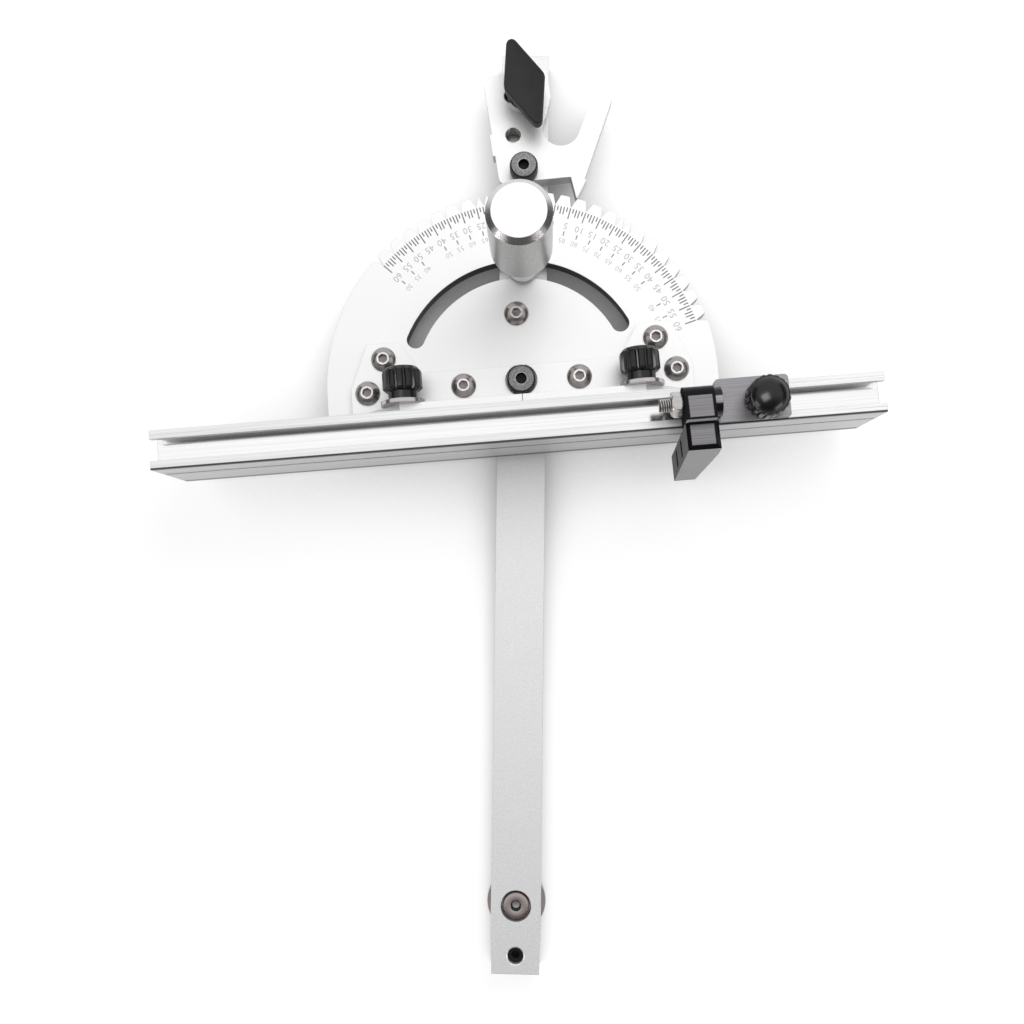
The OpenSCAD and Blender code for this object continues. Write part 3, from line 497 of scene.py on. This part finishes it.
# Dark grey of the lever's threaded hole, a painted shade inside the hole.
shaded_thread_wall = metal("shaded_thread_wall", (0.34, 0.32, 0.29), 0.30, "mill", 0.003, 0.2, edge=0.05, metallic=0.8)
plated_steel = metal("plated_steel", (0.55, 0.55, 0.56), 0.26, "mill", 0.004, 0.08, edge=0.2,
                     edge_tone=0.4, metallic=0.85)
cap_face = metal("cap_face", (0.24, 0.238, 0.242), 0.42, "blast", 0.012, 0.7, edge=0.1)
cap_ring = metal("cap_ring", (0.50, 0.49, 0.49), 0.28, "mill", 0.002, 0.1, edge=0.1, metallic=0.7)
cap_side = metal("cap_side", (0.022, 0.022, 0.023), 0.30, "mill", 0.004, 0.3, edge=0.1, edge_tone=3.0,
                 metallic=0.0, level=0.25)
black_oxide = metal("black_oxide", (0.012, 0.012, 0.012), 0.36, "blast", 0.004, 0.3, edge=0.12,
                    edge_tone=4.0, metallic=0.0, level=0.2)
brass = metal("brass", (0.78, 0.60, 0.28), 0.28, "turn", 0.006, 0.08, centre=KNOB_AXIS, edge=0.15,
              metallic=0.9)
# worn paints the knobs' edges paler as a painted highlight.
gloss_black = plastic("gloss_black", (0.004, 0.004, 0.004), 0.24, 0.002, 900, edge=0.15, edge_highlight=9.0,
                      level=0.42)
matte_black = plastic("matte_black", (0.022, 0.022, 0.023), 0.50, 0.010, 1500, edge=0.35, edge_highlight=5.0,
                      level=0.18)
knob_metal = knob_finish()
black_anodised = anodised_black("black_anodised")
arm_anodised = anodised_black("arm_anodised", arm=True)
scale_ink = ink_material("scale_ink", (0.09, 0.09, 0.095), (0.19, 0.19, 0.2))
figure_ink = ink_material("figure_ink", (0.36, 0.36, 0.37), (0.52, 0.52, 0.53))

# Material of each solid
FINISH = {
    "miter_bar": bar_metal, "retaining_disc": disc_steel, "disc_screw": disc_steel,
    "bar_set_screw": black_oxide, "pivot_screw": cap_side, "clamp_stud": plated_steel,
    "clamp_washer": bright_steel, "lever_pivot_screw": cap_side, "lever_stud": plated_steel,
    "lever_washer": bright_steel, "head_plate": plate_metal, "bracket_left": bracket_metal,
    "bracket_right": bracket_metal, "bracket_screws_left": stainless, "bracket_screws_right": stainless,
    "centre_screw": stainless, "fence_bolt_left": plated_steel, "fence_bolt_right": plated_steel,
    "fence_washer_left": bright_steel, "fence_washer_right": bright_steel, "clamp_knob": knob_metal,
    "index_lever": lever_metal, "wing_knob": matte_black, "wing_insert": brass, "fence": fence_metal,
    "fence_knob_left": gloss_black, "fence_knob_right": gloss_black, "fence_knob_insert_left": brass,
    "fence_knob_insert_right": brass, "stop_carrier": black_anodised, "stop_slot_nut": plated_steel,
    "stop_stud": plated_steel, "stop_pivot_bolt": thread_steel, "stop_pivot_nut": bright_steel,
    "stop_arm": arm_anodised, "stop_knob": gloss_black, "stop_knob_insert": brass,
}
for node_name, material in FINISH.items():
    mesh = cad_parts[node_name].data
    for i in range(len(mesh.materials)):
        mesh.materials[i] = material
    if not mesh.materials:
        mesh.materials.append(material)


def add_piece(name, shape, body, materials, smooth=True):
    """Adds a mesh piece. A shape is its points, its faces and each face's number in the materials."""
    points, faces, paints = shape
    mesh = bpy.data.meshes.new(name)
    mesh.from_pydata([tuple(p) for p in points], [], faces)
    for polygon, paint in zip(mesh.polygons, paints):
        polygon.material_index = paint
    mesh.update()
    if smooth:
        mesh.shade_smooth()
        mesh.set_sharp_from_angle(angle=math.radians(32))
    for m in materials:
        mesh.materials.append(m)
    piece = bpy.data.objects.new(name, mesh)
    bpy.context.scene.collection.objects.link(piece)
    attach(piece, body)
    return piece


def revolve(rows, segments, place, ring=False, root=None):
    """Closed skin from rows of (radius, height) or (radius, height, paint of the band that follows).
    A radius is a number or a function of the angle. The first and the last row close on the axis, or with
    ring the last row joins the first. With root, faces nearer to the axis than that take paint 1."""
    points, faces, paints, reach = [], [], [], []
    for row in rows:
        radius, height = row[0], row[1]
        for k in range(segments):
            a = 2 * math.pi * k / segments
            r = radius(a) if callable(radius) else radius
            reach.append(r)
            points.append(place @ Vector((r * math.cos(a) * MM, r * math.sin(a) * MM, height * MM)))
    bands = len(rows) if ring else len(rows) - 1
    for band in range(bands):
        a, b = band * segments, (band + 1) % len(rows) * segments
        paint = rows[band][2] if len(rows[band]) > 2 else 0
        for k in range(segments):
            n = (k + 1) % segments
            faces.append((a + k, a + n, b + n, b + k))
            mean = (reach[a + k] + reach[a + n] + reach[b + n] + reach[b + k]) / 4
            paints.append(1 if root is not None and mean < root else paint)
    if not ring:
        for row, flip in ((0, True), (len(rows) - 1, False)):
            hub = len(points)
            points.append(place @ Vector((0, 0, rows[row][1] * MM)))
            for k in range(segments):
                n = (k + 1) % segments
                corner = (hub, row * segments + n, row * segments + k)
                faces.append(corner if flip else corner[::-1])
                paints.append(rows[row][2] if len(rows[row]) > 2 else 0)
    return points, faces, paints


def merge(parts):
    points, faces, paints = [], [], []
    for p, f, m in parts:
        base = len(points)
        points += p
        faces += [tuple(i + base for i in face) for face in f]
        paints += m
    return points, faces, paints


def hexagon(across):
    """Radius of a hexagon of that width across its flats, as a function of the angle."""
    def radius(a):
        return across / 2 / math.cos((a + math.pi / 6) % (math.pi / 3) - math.pi / 6)
    return radius


def spun(point, spin=0.0):
    return Matrix.Translation(point) @ Matrix.Rotation(spin, 4, "Z")


def sphere_radius(half_width, rise):
    """Radius of the sphere whose cap has that half width and that rise."""
    return (half_width * half_width + rise * rise) / (2 * rise)


# Button-head screws: a dome with a bright rim round a dull socket
BUTTON_R, BUTTON_H, BUTTON_RIM, SHANK_R = 4.8, 2.6, 0.4, 2.4
FOOT_SHANK_END, CENTRE_SHANK_END = -8.0, -5.2
RIM_OUT, RIM_IN = 2.45, 1.88
DOME_STEPS = 12


def button_head(place, shank_end):
    rise = BUTTON_H - BUTTON_RIM + 0.1
    sphere = sphere_radius(BUTTON_R, rise)
    rows = [(SHANK_R, shank_end), (SHANK_R, 0.0), (BUTTON_R - 0.1, 0.0), (BUTTON_R, 0.1),
            (BUTTON_R, BUTTON_RIM)]
    for k in range(1, DOME_STEPS + 1):
        r = BUTTON_R - (BUTTON_R - RIM_OUT) * k / DOME_STEPS
        rows.append((r, BUTTON_RIM + math.sqrt(sphere * sphere - r * r) - (sphere - rise)))
    top = rows[-1][1] + 0.03
    rows += [(RIM_OUT - 0.04, top, 1), (RIM_IN, top, 1), (hexagon(3.15), top - 0.2, 2),
             (hexagon(3.0), top - 0.3, 2), (hexagon(3.0), top - 1.6, 2), (1.2, top - 1.75, 2)]
    return revolve(rows, 48, place)


# Where the feet's screws stand, on both sides of the head, and how far each is turned
FOOT_SPOTS = ((22.5, -0.5), (60, -0.5), (53, 12.4))
SPINS = (0.3, 0.9, 0.1)
CENTRE_SCREW_Y = 27.2
BUTTON_LOOKS = [stainless, socket_rim, socket_inside]
for side, word in ((-1, "left"), (1, "right")):
    heads = [button_head(spun(head_point(side * x, y, FOOT_TOP), spin + side), FOOT_SHANK_END)
             for (x, y), spin in zip(FOOT_SPOTS, SPINS)]
    piece = add_piece(f"button_heads_{word}", merge(heads), "head", BUTTON_LOOKS)
    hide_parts(f"bracket_screws_{word}")
piece = add_piece("button_head_centre",
                  button_head(spun(head_point(0, CENTRE_SCREW_Y, PLATE_TOP), 0.6), CENTRE_SHANK_END),
                  "head", BUTTON_LOOKS)
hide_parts("centre_screw")

# Black cap screws with a knurled side, and the flat screw of the disc
CAP_R, CAP_H, CAP_GAP, CAP_SHANK_END = 5.55, 6.0, 0.1, -15.1
KNURLS, KNURL_DEPTH = 44, 0.28


def cap_head(place, shank_end):
    r = CAP_R

    def knurl(a):
        return r - KNURL_DEPTH * abs(math.sin(a * KNURLS / 2))
    rows = [(3.0, shank_end, 3), (3.0, 0.0, 3), (r - 0.3, 0.0, 3), (knurl, 0.35, 3),
            (knurl, CAP_H - 1.2, 3), (knurl, CAP_H - 0.6, 3), (r - 0.75, CAP_H - 0.05, 0),
            (r - 0.85, CAP_H, 0), (2.45, CAP_H, 1),
            (2.2, CAP_H - 0.04, 2), (hexagon(4.1), CAP_H - 0.15, 2), (hexagon(4.0), CAP_H - 0.3, 2),
            (hexagon(4.0), CAP_H - 2.9, 2), (1.6, CAP_H - 3.0, 2)]
    return revolve(rows, KNURLS * 3, place)


for node_name, y, spin in (("pivot_screw", 0, 0.35), ("lever_pivot_screw", PIVOT_TO_LEVER, 0.1)):
    piece = add_piece(node_name.replace("screw", "cap"),
                      cap_head(spun(Vector((0, y, PLATE_TOP + CAP_GAP)) * MM, spin), CAP_SHANK_END),
                      "bar", [cap_face, cap_ring, black_oxide, cap_side])
    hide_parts(node_name)

DISC_SCREW_FOOT = 4.9
disc_rows = [(2.5, -4.9), (2.5, 0.0), (5.0, 0.0), (5.1, 0.15), (5.1, 3.3), (4.9, 3.75), (4.4, 4.1),
             (4.0, 4.2), (2.2, 4.2, 1), (2.05, 4.15, 2), (hexagon(3.5), 3.9, 2), (hexagon(3.5), 2.2, 2),
             (1.4, 2.05, 1)]
piece = add_piece("disc_screw_head",
                  revolve(disc_rows, 60, spun(Vector((0, DISC_Y, DISC_SCREW_FOOT)) * MM, 0.2)),
                  "bar", [disc_steel, stainless, cap_side])
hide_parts("disc_screw")


ROWS_A_TURN = 8


def thread_rows(length, major, minor, pitch, inward=False):
    """Rows of a screw thread along +Z. With inward the crests point to the axis, as in a threaded hole."""
    steps = int(length / pitch * ROWS_A_TURN)
    rows = []
    for s in range(steps + 1):
        z = length * s / steps
        taper = min(1.0, z / pitch, (length - z) / pitch)

        def radius(a, z=z, taper=taper):
            phase = (z / pitch - a / (2 * math.pi)) % 1.0
            level = min(1.0, max(0.0, (1 - abs(2 * phase - 1)) * 1.5 - 0.25)) * taper
            return major - (major - minor) * level if inward else minor + (major - minor) * level
        rows.append((radius, z))
    return rows


# Thread on the pivot bolt of the flip stop: its ends, its outer and inner radius, its pitch, and the radius
# below which its faces take a dark tone, a painted shade in the thread's roots
low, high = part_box("stop_pivot_bolt")
BOLT_Z = (low.z + high.z) / 2 / MM
BOLT_START, BOLT_END = 47.3, 69.0
BOLT_MAJOR, BOLT_MINOR, BOLT_PITCH, BOLT_ROOT = 2.5, 1.95, 0.8, 2.2
along = Matrix.Rotation(HEAD_ANGLE, 4, "Z") @ Matrix.Rotation(math.pi / 2, 4, "Y")
bolt_place = Matrix.Translation(head_point(BOLT_START, FENCE_MID, BOLT_Z)) @ along
bolt_rows = thread_rows(BOLT_END - BOLT_START, BOLT_MAJOR, BOLT_MINOR, BOLT_PITCH)
piece = add_piece("stop_bolt_thread", revolve(bolt_rows, 36, bolt_place, root=BOLT_ROOT), "stop_carrier",
                  [thread_steel, thread_root_shade])
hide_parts("stop_pivot_bolt")

# Nut with rounded corners
NUT_START, NUT_T, NUT_AF = 51.6, 4.0, 8.0
NUT_ROUND = NUT_AF / 2 * 1.06


def nut_row(chamfer):
    six = hexagon(NUT_AF)
    return lambda a: min(six(a), NUT_ROUND + chamfer)


nut_rows = [(2.55, 0.0), (NUT_AF / 2 - 0.1, 0.0), (nut_row(0.0), 0.35), (nut_row(0.6), 0.8),
            (nut_row(0.6), NUT_T - 0.8), (nut_row(0.0), NUT_T - 0.35), (NUT_AF / 2 - 0.1, NUT_T),
            (2.55, NUT_T)]
nut_place = Matrix.Translation(head_point(NUT_START, FENCE_MID, BOLT_Z)) @ along
piece = add_piece("stop_nut_rounded", revolve(nut_rows, 72, nut_place, ring=True), "stop_carrier",
                  [bright_steel])
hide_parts("stop_pivot_nut")

# Thread of the lever's open hole, painted a dark grey as painted shade inside the hole. The hole's place is
# given from the lever's own screw, about which the stored lever is drawn back.
LEVER_DRAW = math.radians(9.5)
SPARE_X, SPARE_Y, SPARE_Z = -2, 15.3, PLATE_LOW + 0.1
SPARE_LEN, SPARE_MAJOR, SPARE_MINOR, SPARE_PITCH, SPARE_WALL = 5.5, 2.98, 2.45, 1.0, 2.985
spare_spot = Matrix.Rotation(LEVER_DRAW, 4, "Z") @ Vector((SPARE_X, SPARE_Y, SPARE_Z))
spare_place = spun((Vector((0, PIVOT_TO_LEVER, 0)) + spare_spot) * MM)
bore = thread_rows(SPARE_LEN, SPARE_MAJOR, SPARE_MINOR, SPARE_PITCH, inward=True)
bore_rows = [(SPARE_WALL, bore[0][1]), *bore, (SPARE_WALL, bore[-1][1])]
add_piece("lever_hole_thread", revolve(bore_rows[::-1], 40, spare_place, ring=True), "index_lever",
          [shaded_thread_wall])


def ribbed(radius, sunk, count, share=0.42):
    """Radius of a grip with narrow grooves: sunk deep, count of them, share of the pitch wide."""
    def value(a):
        phase = (a * count / (2 * math.pi)) % 1.0
        rise = abs(2 * phase - 1)
        level = min(1.0, max(0.0, (rise - (1 - share)) / share * 2.0))
        return radius - sunk * level ** 0.7
    return value


# Ribbed knobs of the fence: neck, ribs between plain shoulders, rounded end
GRIP_R, GRIP_LEN, NECK_R, NECK_LEN, BORE_R, BORE_LEN = 7.5, 9.4, 5.5, 3.5, 4.0, 10.4
GRIP_RIBS = 14
GRIP_END = NECK_LEN + GRIP_LEN
grip_rows = [(BORE_R, BORE_LEN), (BORE_R, 0.0), (NECK_R - 0.2, 0.0), (NECK_R, 0.2),
             (NECK_R, NECK_LEN - 0.1), (NECK_R + 0.15, NECK_LEN), (GRIP_R - 1.5, NECK_LEN),
             (ribbed(GRIP_R - 0.9, 0.3, GRIP_RIBS), NECK_LEN + 0.35),
             (ribbed(GRIP_R, 0.85, GRIP_RIBS), NECK_LEN + 1.3),
             (ribbed(GRIP_R, 0.85, GRIP_RIBS), GRIP_END - 2.3),
             (ribbed(GRIP_R - 0.25, 0.5, GRIP_RIBS), GRIP_END - 1.5), (GRIP_R - 0.75, GRIP_END - 1.15),
             (GRIP_R - 1.05, GRIP_END - 0.6), (GRIP_R - 1.5, GRIP_END - 0.15), (GRIP_R - 2.1, GRIP_END),
             (GRIP_R - 3.4, GRIP_END - 0.15), (1.0, GRIP_END - 0.2)]
rear = Matrix.Rotation(HEAD_ANGLE, 4, "Z") @ Matrix.Rotation(-math.pi / 2, 4, "X")
for side, word in ((-1, "left"), (1, "right")):
    place = Matrix.Translation(head_point(side * FENCE_KNOB_X, FENCE_KNOB_FOOT, FENCE_KNOB_Z)) @ rear
    piece = add_piece(f"fence_grip_{word}", revolve(grip_rows, GRIP_RIBS * 12, place), f"fence_knob_{word}",
                      [gloss_black])
    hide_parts(f"fence_knob_{word}")

# Ribbed knob of the flip stop, with its dome
STOP_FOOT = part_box("stop_knob")[0].z / MM
STOP_R, STOP_H, DOME_H, STOP_RIBS = 7.3, 8.6, 3.4, 18
DOME_R = STOP_R - 0.9
stop_rows = [(3.75, 7.1), (3.75, 0.0), (STOP_R - 0.9, 0.0), (ribbed(STOP_R - 0.3, 0.5, STOP_RIBS), 0.4),
             (ribbed(STOP_R, 0.8, STOP_RIBS), 1.0), (ribbed(STOP_R, 0.8, STOP_RIBS), STOP_H - 1.0),
             (ribbed(STOP_R - 0.15, 0.6, STOP_RIBS), STOP_H - 0.5), (DOME_R + 0.3, STOP_H - 0.05),
             (DOME_R, STOP_H)]
dome_sphere = sphere_radius(DOME_R, DOME_H)
for k in range(1, DOME_STEPS + 1):
    r = DOME_R * (1 - k / (DOME_STEPS + 0.5))
    stop_rows.append((r, STOP_H + DOME_H - dome_sphere + math.sqrt(dome_sphere * dome_sphere - r * r)))
stop_place = spun(head_point(STOP_KNOB_X, FENCE_MID, STOP_FOOT))
piece = add_piece("stop_grip", revolve(stop_rows, STOP_RIBS * 10, stop_place), "stop_knob", [gloss_black])
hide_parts("stop_knob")

# Wing knob: a rounded lozenge with a thin rim round a hollow face, on a hub
WING_LEN, WING_W, WING_H, HUB_H, TIP_R, SIDE_R = 36, 16.5, 5.6, 4.0, 2.2, 4.5
WING_TURN = math.radians(19)
WING_Z = 21.0
WING_SEGMENTS, OUTLINE_STEPS, HOLLOW_STEPS = 160, 720, 10
corners = [(0, WING_LEN / 2 - TIP_R, TIP_R), (0, TIP_R - WING_LEN / 2, TIP_R),
           (WING_W / 2 - SIDE_R, 0, SIDE_R), (SIDE_R - WING_W / 2, 0, SIDE_R)]
reach = [(t, max(x * math.cos(t) + y * math.sin(t) + r for x, y, r in corners))
         for t in (2 * math.pi * k / OUTLINE_STEPS for k in range(OUTLINE_STEPS))]
outline = [[(t, h) for t, h in reach if math.cos(t - 2 * math.pi * k / WING_SEGMENTS) > 0.15]
           for k in range(WING_SEGMENTS)]


def lozenge(inset, scale=1.0):
    """Radius of the wing's outline, drawn in by an inset and then scaled towards its centre."""
    def radius(a):
        k = round(a / (2 * math.pi) * WING_SEGMENTS) % WING_SEGMENTS
        return scale * min((h - inset) / math.cos(t - a) for t, h in outline[k])
    return radius


wing_rows = [(4.0, 3.2), (4.0, -HUB_H), (5.4, -HUB_H), (5.5, -HUB_H + 0.1), (5.5, 0.05),
             (lozenge(0.9), 0.05), (lozenge(0.5), 0.2), (lozenge(0.15), 1.2), (lozenge(0.05), WING_H - 1.1),
             (lozenge(0.0), WING_H - 0.7), (lozenge(0.15), WING_H - 0.25), (lozenge(0.45), WING_H - 0.02),
             (lozenge(0.75), WING_H - 0.02), (lozenge(1.0), WING_H - 0.12)]
for k in range(1, HOLLOW_STEPS):
    scale = 1 - k / HOLLOW_STEPS
    wing_rows.append((lozenge(1.0, scale), WING_H - 0.12 - 0.75 * (1 - scale * scale)))
wing_place = spun(Vector((0, PIVOT_TO_WING, WING_Z)) * MM, WING_TURN)
piece = add_piece("wing_grip", revolve(wing_rows, WING_SEGMENTS, wing_place), "wing_knob", [matte_black])
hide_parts("wing_knob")

# Protractor scale: how far its zero lies from the head's middle in degrees, the radii of the marks' ends,
# and radius, height and thinning of the two rows of numbers
ZERO_OFFSET, LAST_DEGREE = 15, 60
MARK_LOW, MARK_HIGH = PLATE_TOP - 0.01, PLATE_TOP + 0.02
MARK_OUTER, FIVE_INNER, MIDDLE_INNER, DEGREE_INNER = 72.1, 67.6, 68.9, 70.2
SMALL_INNER, SMALL_OUTER = 60.6, 62.4
MARK_W, SMALL_W = 0.44, 0.4
NUMBER, SMALL_NUMBER = (64.7, 3.7, 0.02), (58.6, 2.8, 0.03)


def mark_frame(angle, radius):
    """Matrix at a place on the scale: +Y points away from the pivot."""
    phi = math.pi / 2 + HEAD_ANGLE - math.radians(ZERO_OFFSET + angle)
    spot = Vector((radius * math.cos(phi), radius * math.sin(phi), 0)) * MM
    return Matrix.Translation(spot) @ Matrix.Rotation(phi - math.pi / 2, 4, "Z")


def bar_mark(angle, inner, outer, width):
    place = mark_frame(angle, 0)
    w = width / 2
    points = [place @ (Vector((x, y, z)) * MM)
              for z in (MARK_LOW, MARK_HIGH)
              for x, y in ((-w, inner), (w, inner), (w, outer), (-w, outer))]
    faces = [(3, 2, 1, 0), (4, 5, 6, 7), (0, 1, 5, 4), (1, 2, 6, 5), (2, 3, 7, 6), (3, 0, 4, 7)]
    return points, faces, [0] * len(faces)


def number_mark(text, angle, radius, size, thin):
    """A number lying on the plate, with its top towards the pivot."""
    curve = bpy.data.curves.new("number", "FONT")
    curve.body = text
    curve.size = size * MM
    curve.align_x = "CENTER"
    curve.align_y = "CENTER"
    curve.offset = -thin * MM
    curve.resolution_u = 3
    curve.extrude = (MARK_HIGH - MARK_LOW) / 2 * MM
    curve.space_character = 1.05
    holder = bpy.data.objects.new("number", curve)
    bpy.context.scene.collection.objects.link(holder)
    bpy.context.view_layer.update()
    mesh = bpy.data.meshes.new_from_object(holder.evaluated_get(bpy.context.evaluated_depsgraph_get()))
    place = mark_frame(angle, radius) @ Matrix.Rotation(math.pi, 4, "Z")
    lift = Vector((0, 0, (MARK_LOW + MARK_HIGH) / 2 * MM))
    points = [place @ v.co + lift for v in mesh.vertices]
    faces = [tuple(p.vertices) for p in mesh.polygons]
    bpy.data.objects.remove(holder)
    bpy.data.meshes.remove(mesh)
    bpy.data.curves.remove(curve)
    return points, faces, [1] * len(faces)


marks = []
for degree in range(-LAST_DEGREE, LAST_DEGREE + 1):
    step = abs(degree) % 5
    inner = FIVE_INNER if step == 0 else MIDDLE_INNER if step in (2, 3) else DEGREE_INNER
    marks.append(bar_mark(degree, inner, MARK_OUTER, MARK_W))
    if step == 0:
        marks.append(number_mark(str(abs(degree)), degree, *NUMBER))
        if degree and abs(degree) != 45:
            marks.append(bar_mark(degree, SMALL_INNER, SMALL_OUTER, SMALL_W))
            marks.append(number_mark(str(90 - abs(degree)), degree, *SMALL_NUMBER))
add_piece("scale_marks", merge(marks), "head", [scale_ink, figure_ink], smooth=False)


# Floor and world
def add_node(tree, kind, **inputs):
    n = tree.nodes.new(kind)
    for key, value in inputs.items():
        n.inputs[key.replace("_", " ")].default_value = value
    return n


def maths(tree, operation, first, second, clamp=False):
    n = tree.nodes.new("ShaderNodeMath")
    n.operation = operation
    n.use_clamp = clamp
    for socket, value in zip(n.inputs, (first, second)):
        if isinstance(value, (int, float)):
            socket.default_value = value
        else:
            tree.links.new(value, socket)
    return n.outputs[0]


def map_range(tree, value, low, high, to_low, to_high):
    n = add_node(tree, "ShaderNodeMapRange", From_Min=low, From_Max=high, To_Min=to_low, To_Max=to_high)
    tree.links.new(value, n.inputs["Value"])
    return n.outputs[0]


def choose(tree, test, otherwise, number):
    """The number where the test is 1, and the other value where it is 0."""
    n = tree.nodes.new("ShaderNodeMix")
    tree.links.new(test, n.inputs[0])
    tree.links.new(otherwise, n.inputs[2])
    n.inputs[3].default_value = number
    return n.outputs[0]


def seen_by_eye(tree):
    """1 for rays that show the background: from the camera, in a reflection or through glass."""
    path = tree.nodes.new("ShaderNodeLightPath")
    total = maths(tree, "ADD", path.outputs["Is Camera Ray"], path.outputs["Is Glossy Ray"], True)
    return maths(tree, "ADD", total, path.outputs["Is Transmission Ray"], True)


# Floor: its reach, its place below the gauge, its own light where the eye sees it, and its two greys
FLOOR_REACH, FLOOR_Z = 4.0, -0.6 * MM
FLOOR_GLOW, SEEN_GREY, UNSEEN_GREY = 0.88, 0.16, 0.8

# The floor's own light fades where the gauge covers much of the sky within that reach
COVER_REACH, OPEN_LOW, OPEN_HIGH = 0.1, 0.04, 0.70


def floor_light(tree):
    """How much of the floor's own light is left: all in the open, less where the gauge stands over it."""
    open_sky = add_node(tree, "ShaderNodeAmbientOcclusion", Distance=COVER_REACH)
    open_sky.samples = 16
    return map_range(tree, open_sky.outputs["AO"], OPEN_LOW, OPEN_HIGH, 0.0, 1.0)


floor_look = bpy.data.materials.new("floor_look")
floor_look.use_nodes = True
tree = floor_look.node_tree
tree.nodes.clear()
out = tree.nodes.new("ShaderNodeOutputMaterial")
unseen = add_node(tree, "ShaderNodeBsdfDiffuse", Color=(UNSEEN_GREY, UNSEEN_GREY, UNSEEN_GREY, 1))
seen = add_node(tree, "ShaderNodeBsdfDiffuse", Color=(SEEN_GREY, SEEN_GREY, SEEN_GREY, 1))
glow = add_node(tree, "ShaderNodeEmission", Color=(1, 1, 1, 1))
tree.links.new(maths(tree, "MULTIPLY", floor_light(tree), FLOOR_GLOW), glow.inputs["Strength"])
both = tree.nodes.new("ShaderNodeAddShader")
tree.links.new(seen.outputs[0], both.inputs[0])
tree.links.new(glow.outputs[0], both.inputs[1])
choice = tree.nodes.new("ShaderNodeMixShader")
tree.links.new(seen_by_eye(tree), choice.inputs[0])
tree.links.new(unseen.outputs[0], choice.inputs[1])
tree.links.new(both.outputs[0], choice.inputs[2])
tree.links.new(choice.outputs[0], out.inputs[0])

floor_mesh = bpy.data.meshes.new("floor")
floor_mesh.from_pydata([(-FLOOR_REACH, -FLOOR_REACH, 0), (FLOOR_REACH, -FLOOR_REACH, 0),
                        (FLOOR_REACH, FLOOR_REACH, 0), (-FLOOR_REACH, FLOOR_REACH, 0)], [], [(0, 1, 2, 3)])
floor_mesh.materials.append(floor_look)
floor = bpy.data.objects.new("floor", floor_mesh)
floor.location.z = FLOOR_Z
bpy.context.scene.collection.objects.link(floor)

# World: white to the eye, plain and dimmer as a light, and in reflections darker towards the front
WORLD_LIGHT = 0.42
FRONT_Y, BACK_Y, FRONT_LEVEL = -0.6, 0.0, 0.12

world = bpy.data.worlds.new("studio")
bpy.context.scene.world = world
world.use_nodes = True
tree = world.node_tree
tree.nodes.clear()
out = tree.nodes.new("ShaderNodeOutputWorld")
direction = tree.nodes.new("ShaderNodeSeparateXYZ")
tree.links.new(tree.nodes.new("ShaderNodeTexCoord").outputs["Generated"], direction.inputs[0])
path = tree.nodes.new("ShaderNodeLightPath")
mirrored = map_range(tree, direction.outputs[1], FRONT_Y, BACK_Y, FRONT_LEVEL, 1.0)
unseen_level = choose(tree, path.outputs["Is Diffuse Ray"], mirrored, WORLD_LIGHT)
by_eye = maths(tree, "ADD", path.outputs["Is Camera Ray"], path.outputs["Is Transmission Ray"], True)
sky = add_node(tree, "ShaderNodeBackground", Color=(1, 1, 1, 1))
tree.links.new(choose(tree, by_eye, unseen_level, 1.0), sky.inputs["Strength"])
tree.links.new(sky.outputs[0], out.inputs[0])


def soft_lamp(name, place, target, size, power):
    data = bpy.data.lights.new(name, "AREA")
    data.shape = "RECTANGLE"
    data.size, data.size_y = size
    data.energy = power
    lamp = bpy.data.objects.new(name, data)
    lamp.location = place
    lamp.rotation_euler = (Vector(target) - Vector(place)).to_track_quat("-Z", "Y").to_euler()
    bpy.context.scene.collection.objects.link(lamp)
    return lamp


# Main lamp, from behind on the right. It isn't mirrored, so that it can't wash out the scale.
lamp_rear = soft_lamp("lamp_rear", (0.22, 0.42, 0.62), (0, 0.05, 0), (0.5, 0.35), 4.6)
lamp_rear.visible_glossy = False

# Highlight of the glossy black knobs alone
dome_lamp = soft_lamp("dome_lamp", (-0.20, -0.16, 0.72), (0.085, -0.02, 0.06), (0.45, 0.5), 4.5)
dome_lamp.visible_diffuse = False
knobs_only = bpy.data.collections.new("knobs_only")
for piece_name in ("stop_grip", "fence_grip_left", "fence_grip_right"):
    knobs_only.objects.link(bpy.data.objects[piece_name])
dome_lamp.light_linking.receiver_collection = knobs_only

# Glints on the clamp knob's bevel
for word, side in (("left", -1), ("right", 1)):
    soft_lamp(f"glint_{word}", (side * 0.5, -0.42, 0.16), (0, 0.045, 0.07), (0.34, 0.14), 0.6)

card_look = bpy.data.materials.new("card_look")
card_look.use_nodes = True
card_shader = card_look.node_tree.nodes["Principled BSDF"]
card_shader.inputs["Base Color"].default_value = (0.08, 0.08, 0.08, 1)
card_shader.inputs["Roughness"].default_value = 1.0
CARD_W, CARD_H, CARD_AWAY = 0.75, 0.32, 0.7


def dark_card(name, azimuth):
    """An upright black card beside the set, for dark accents in metal. Only reflections show it."""
    c, s = math.cos(math.radians(azimuth)), math.sin(math.radians(azimuth))
    corners = [(CARD_AWAY * c - side * CARD_W / 2 * s, CARD_AWAY * s + side * CARD_W / 2 * c, z)
               for side, z in ((-1, 0), (1, 0), (1, CARD_H), (-1, CARD_H))]
    mesh = bpy.data.meshes.new(name)
    mesh.from_pydata(corners, [], [(0, 1, 2, 3)])
    mesh.materials.append(card_look)
    card = bpy.data.objects.new(name, mesh)
    bpy.context.scene.collection.objects.link(card)
    card.visible_camera = False
    card.visible_diffuse = False
    card.visible_shadow = False
    card.visible_transmission = False


dark_card("card_right", 15)
dark_card("card_left", 165)
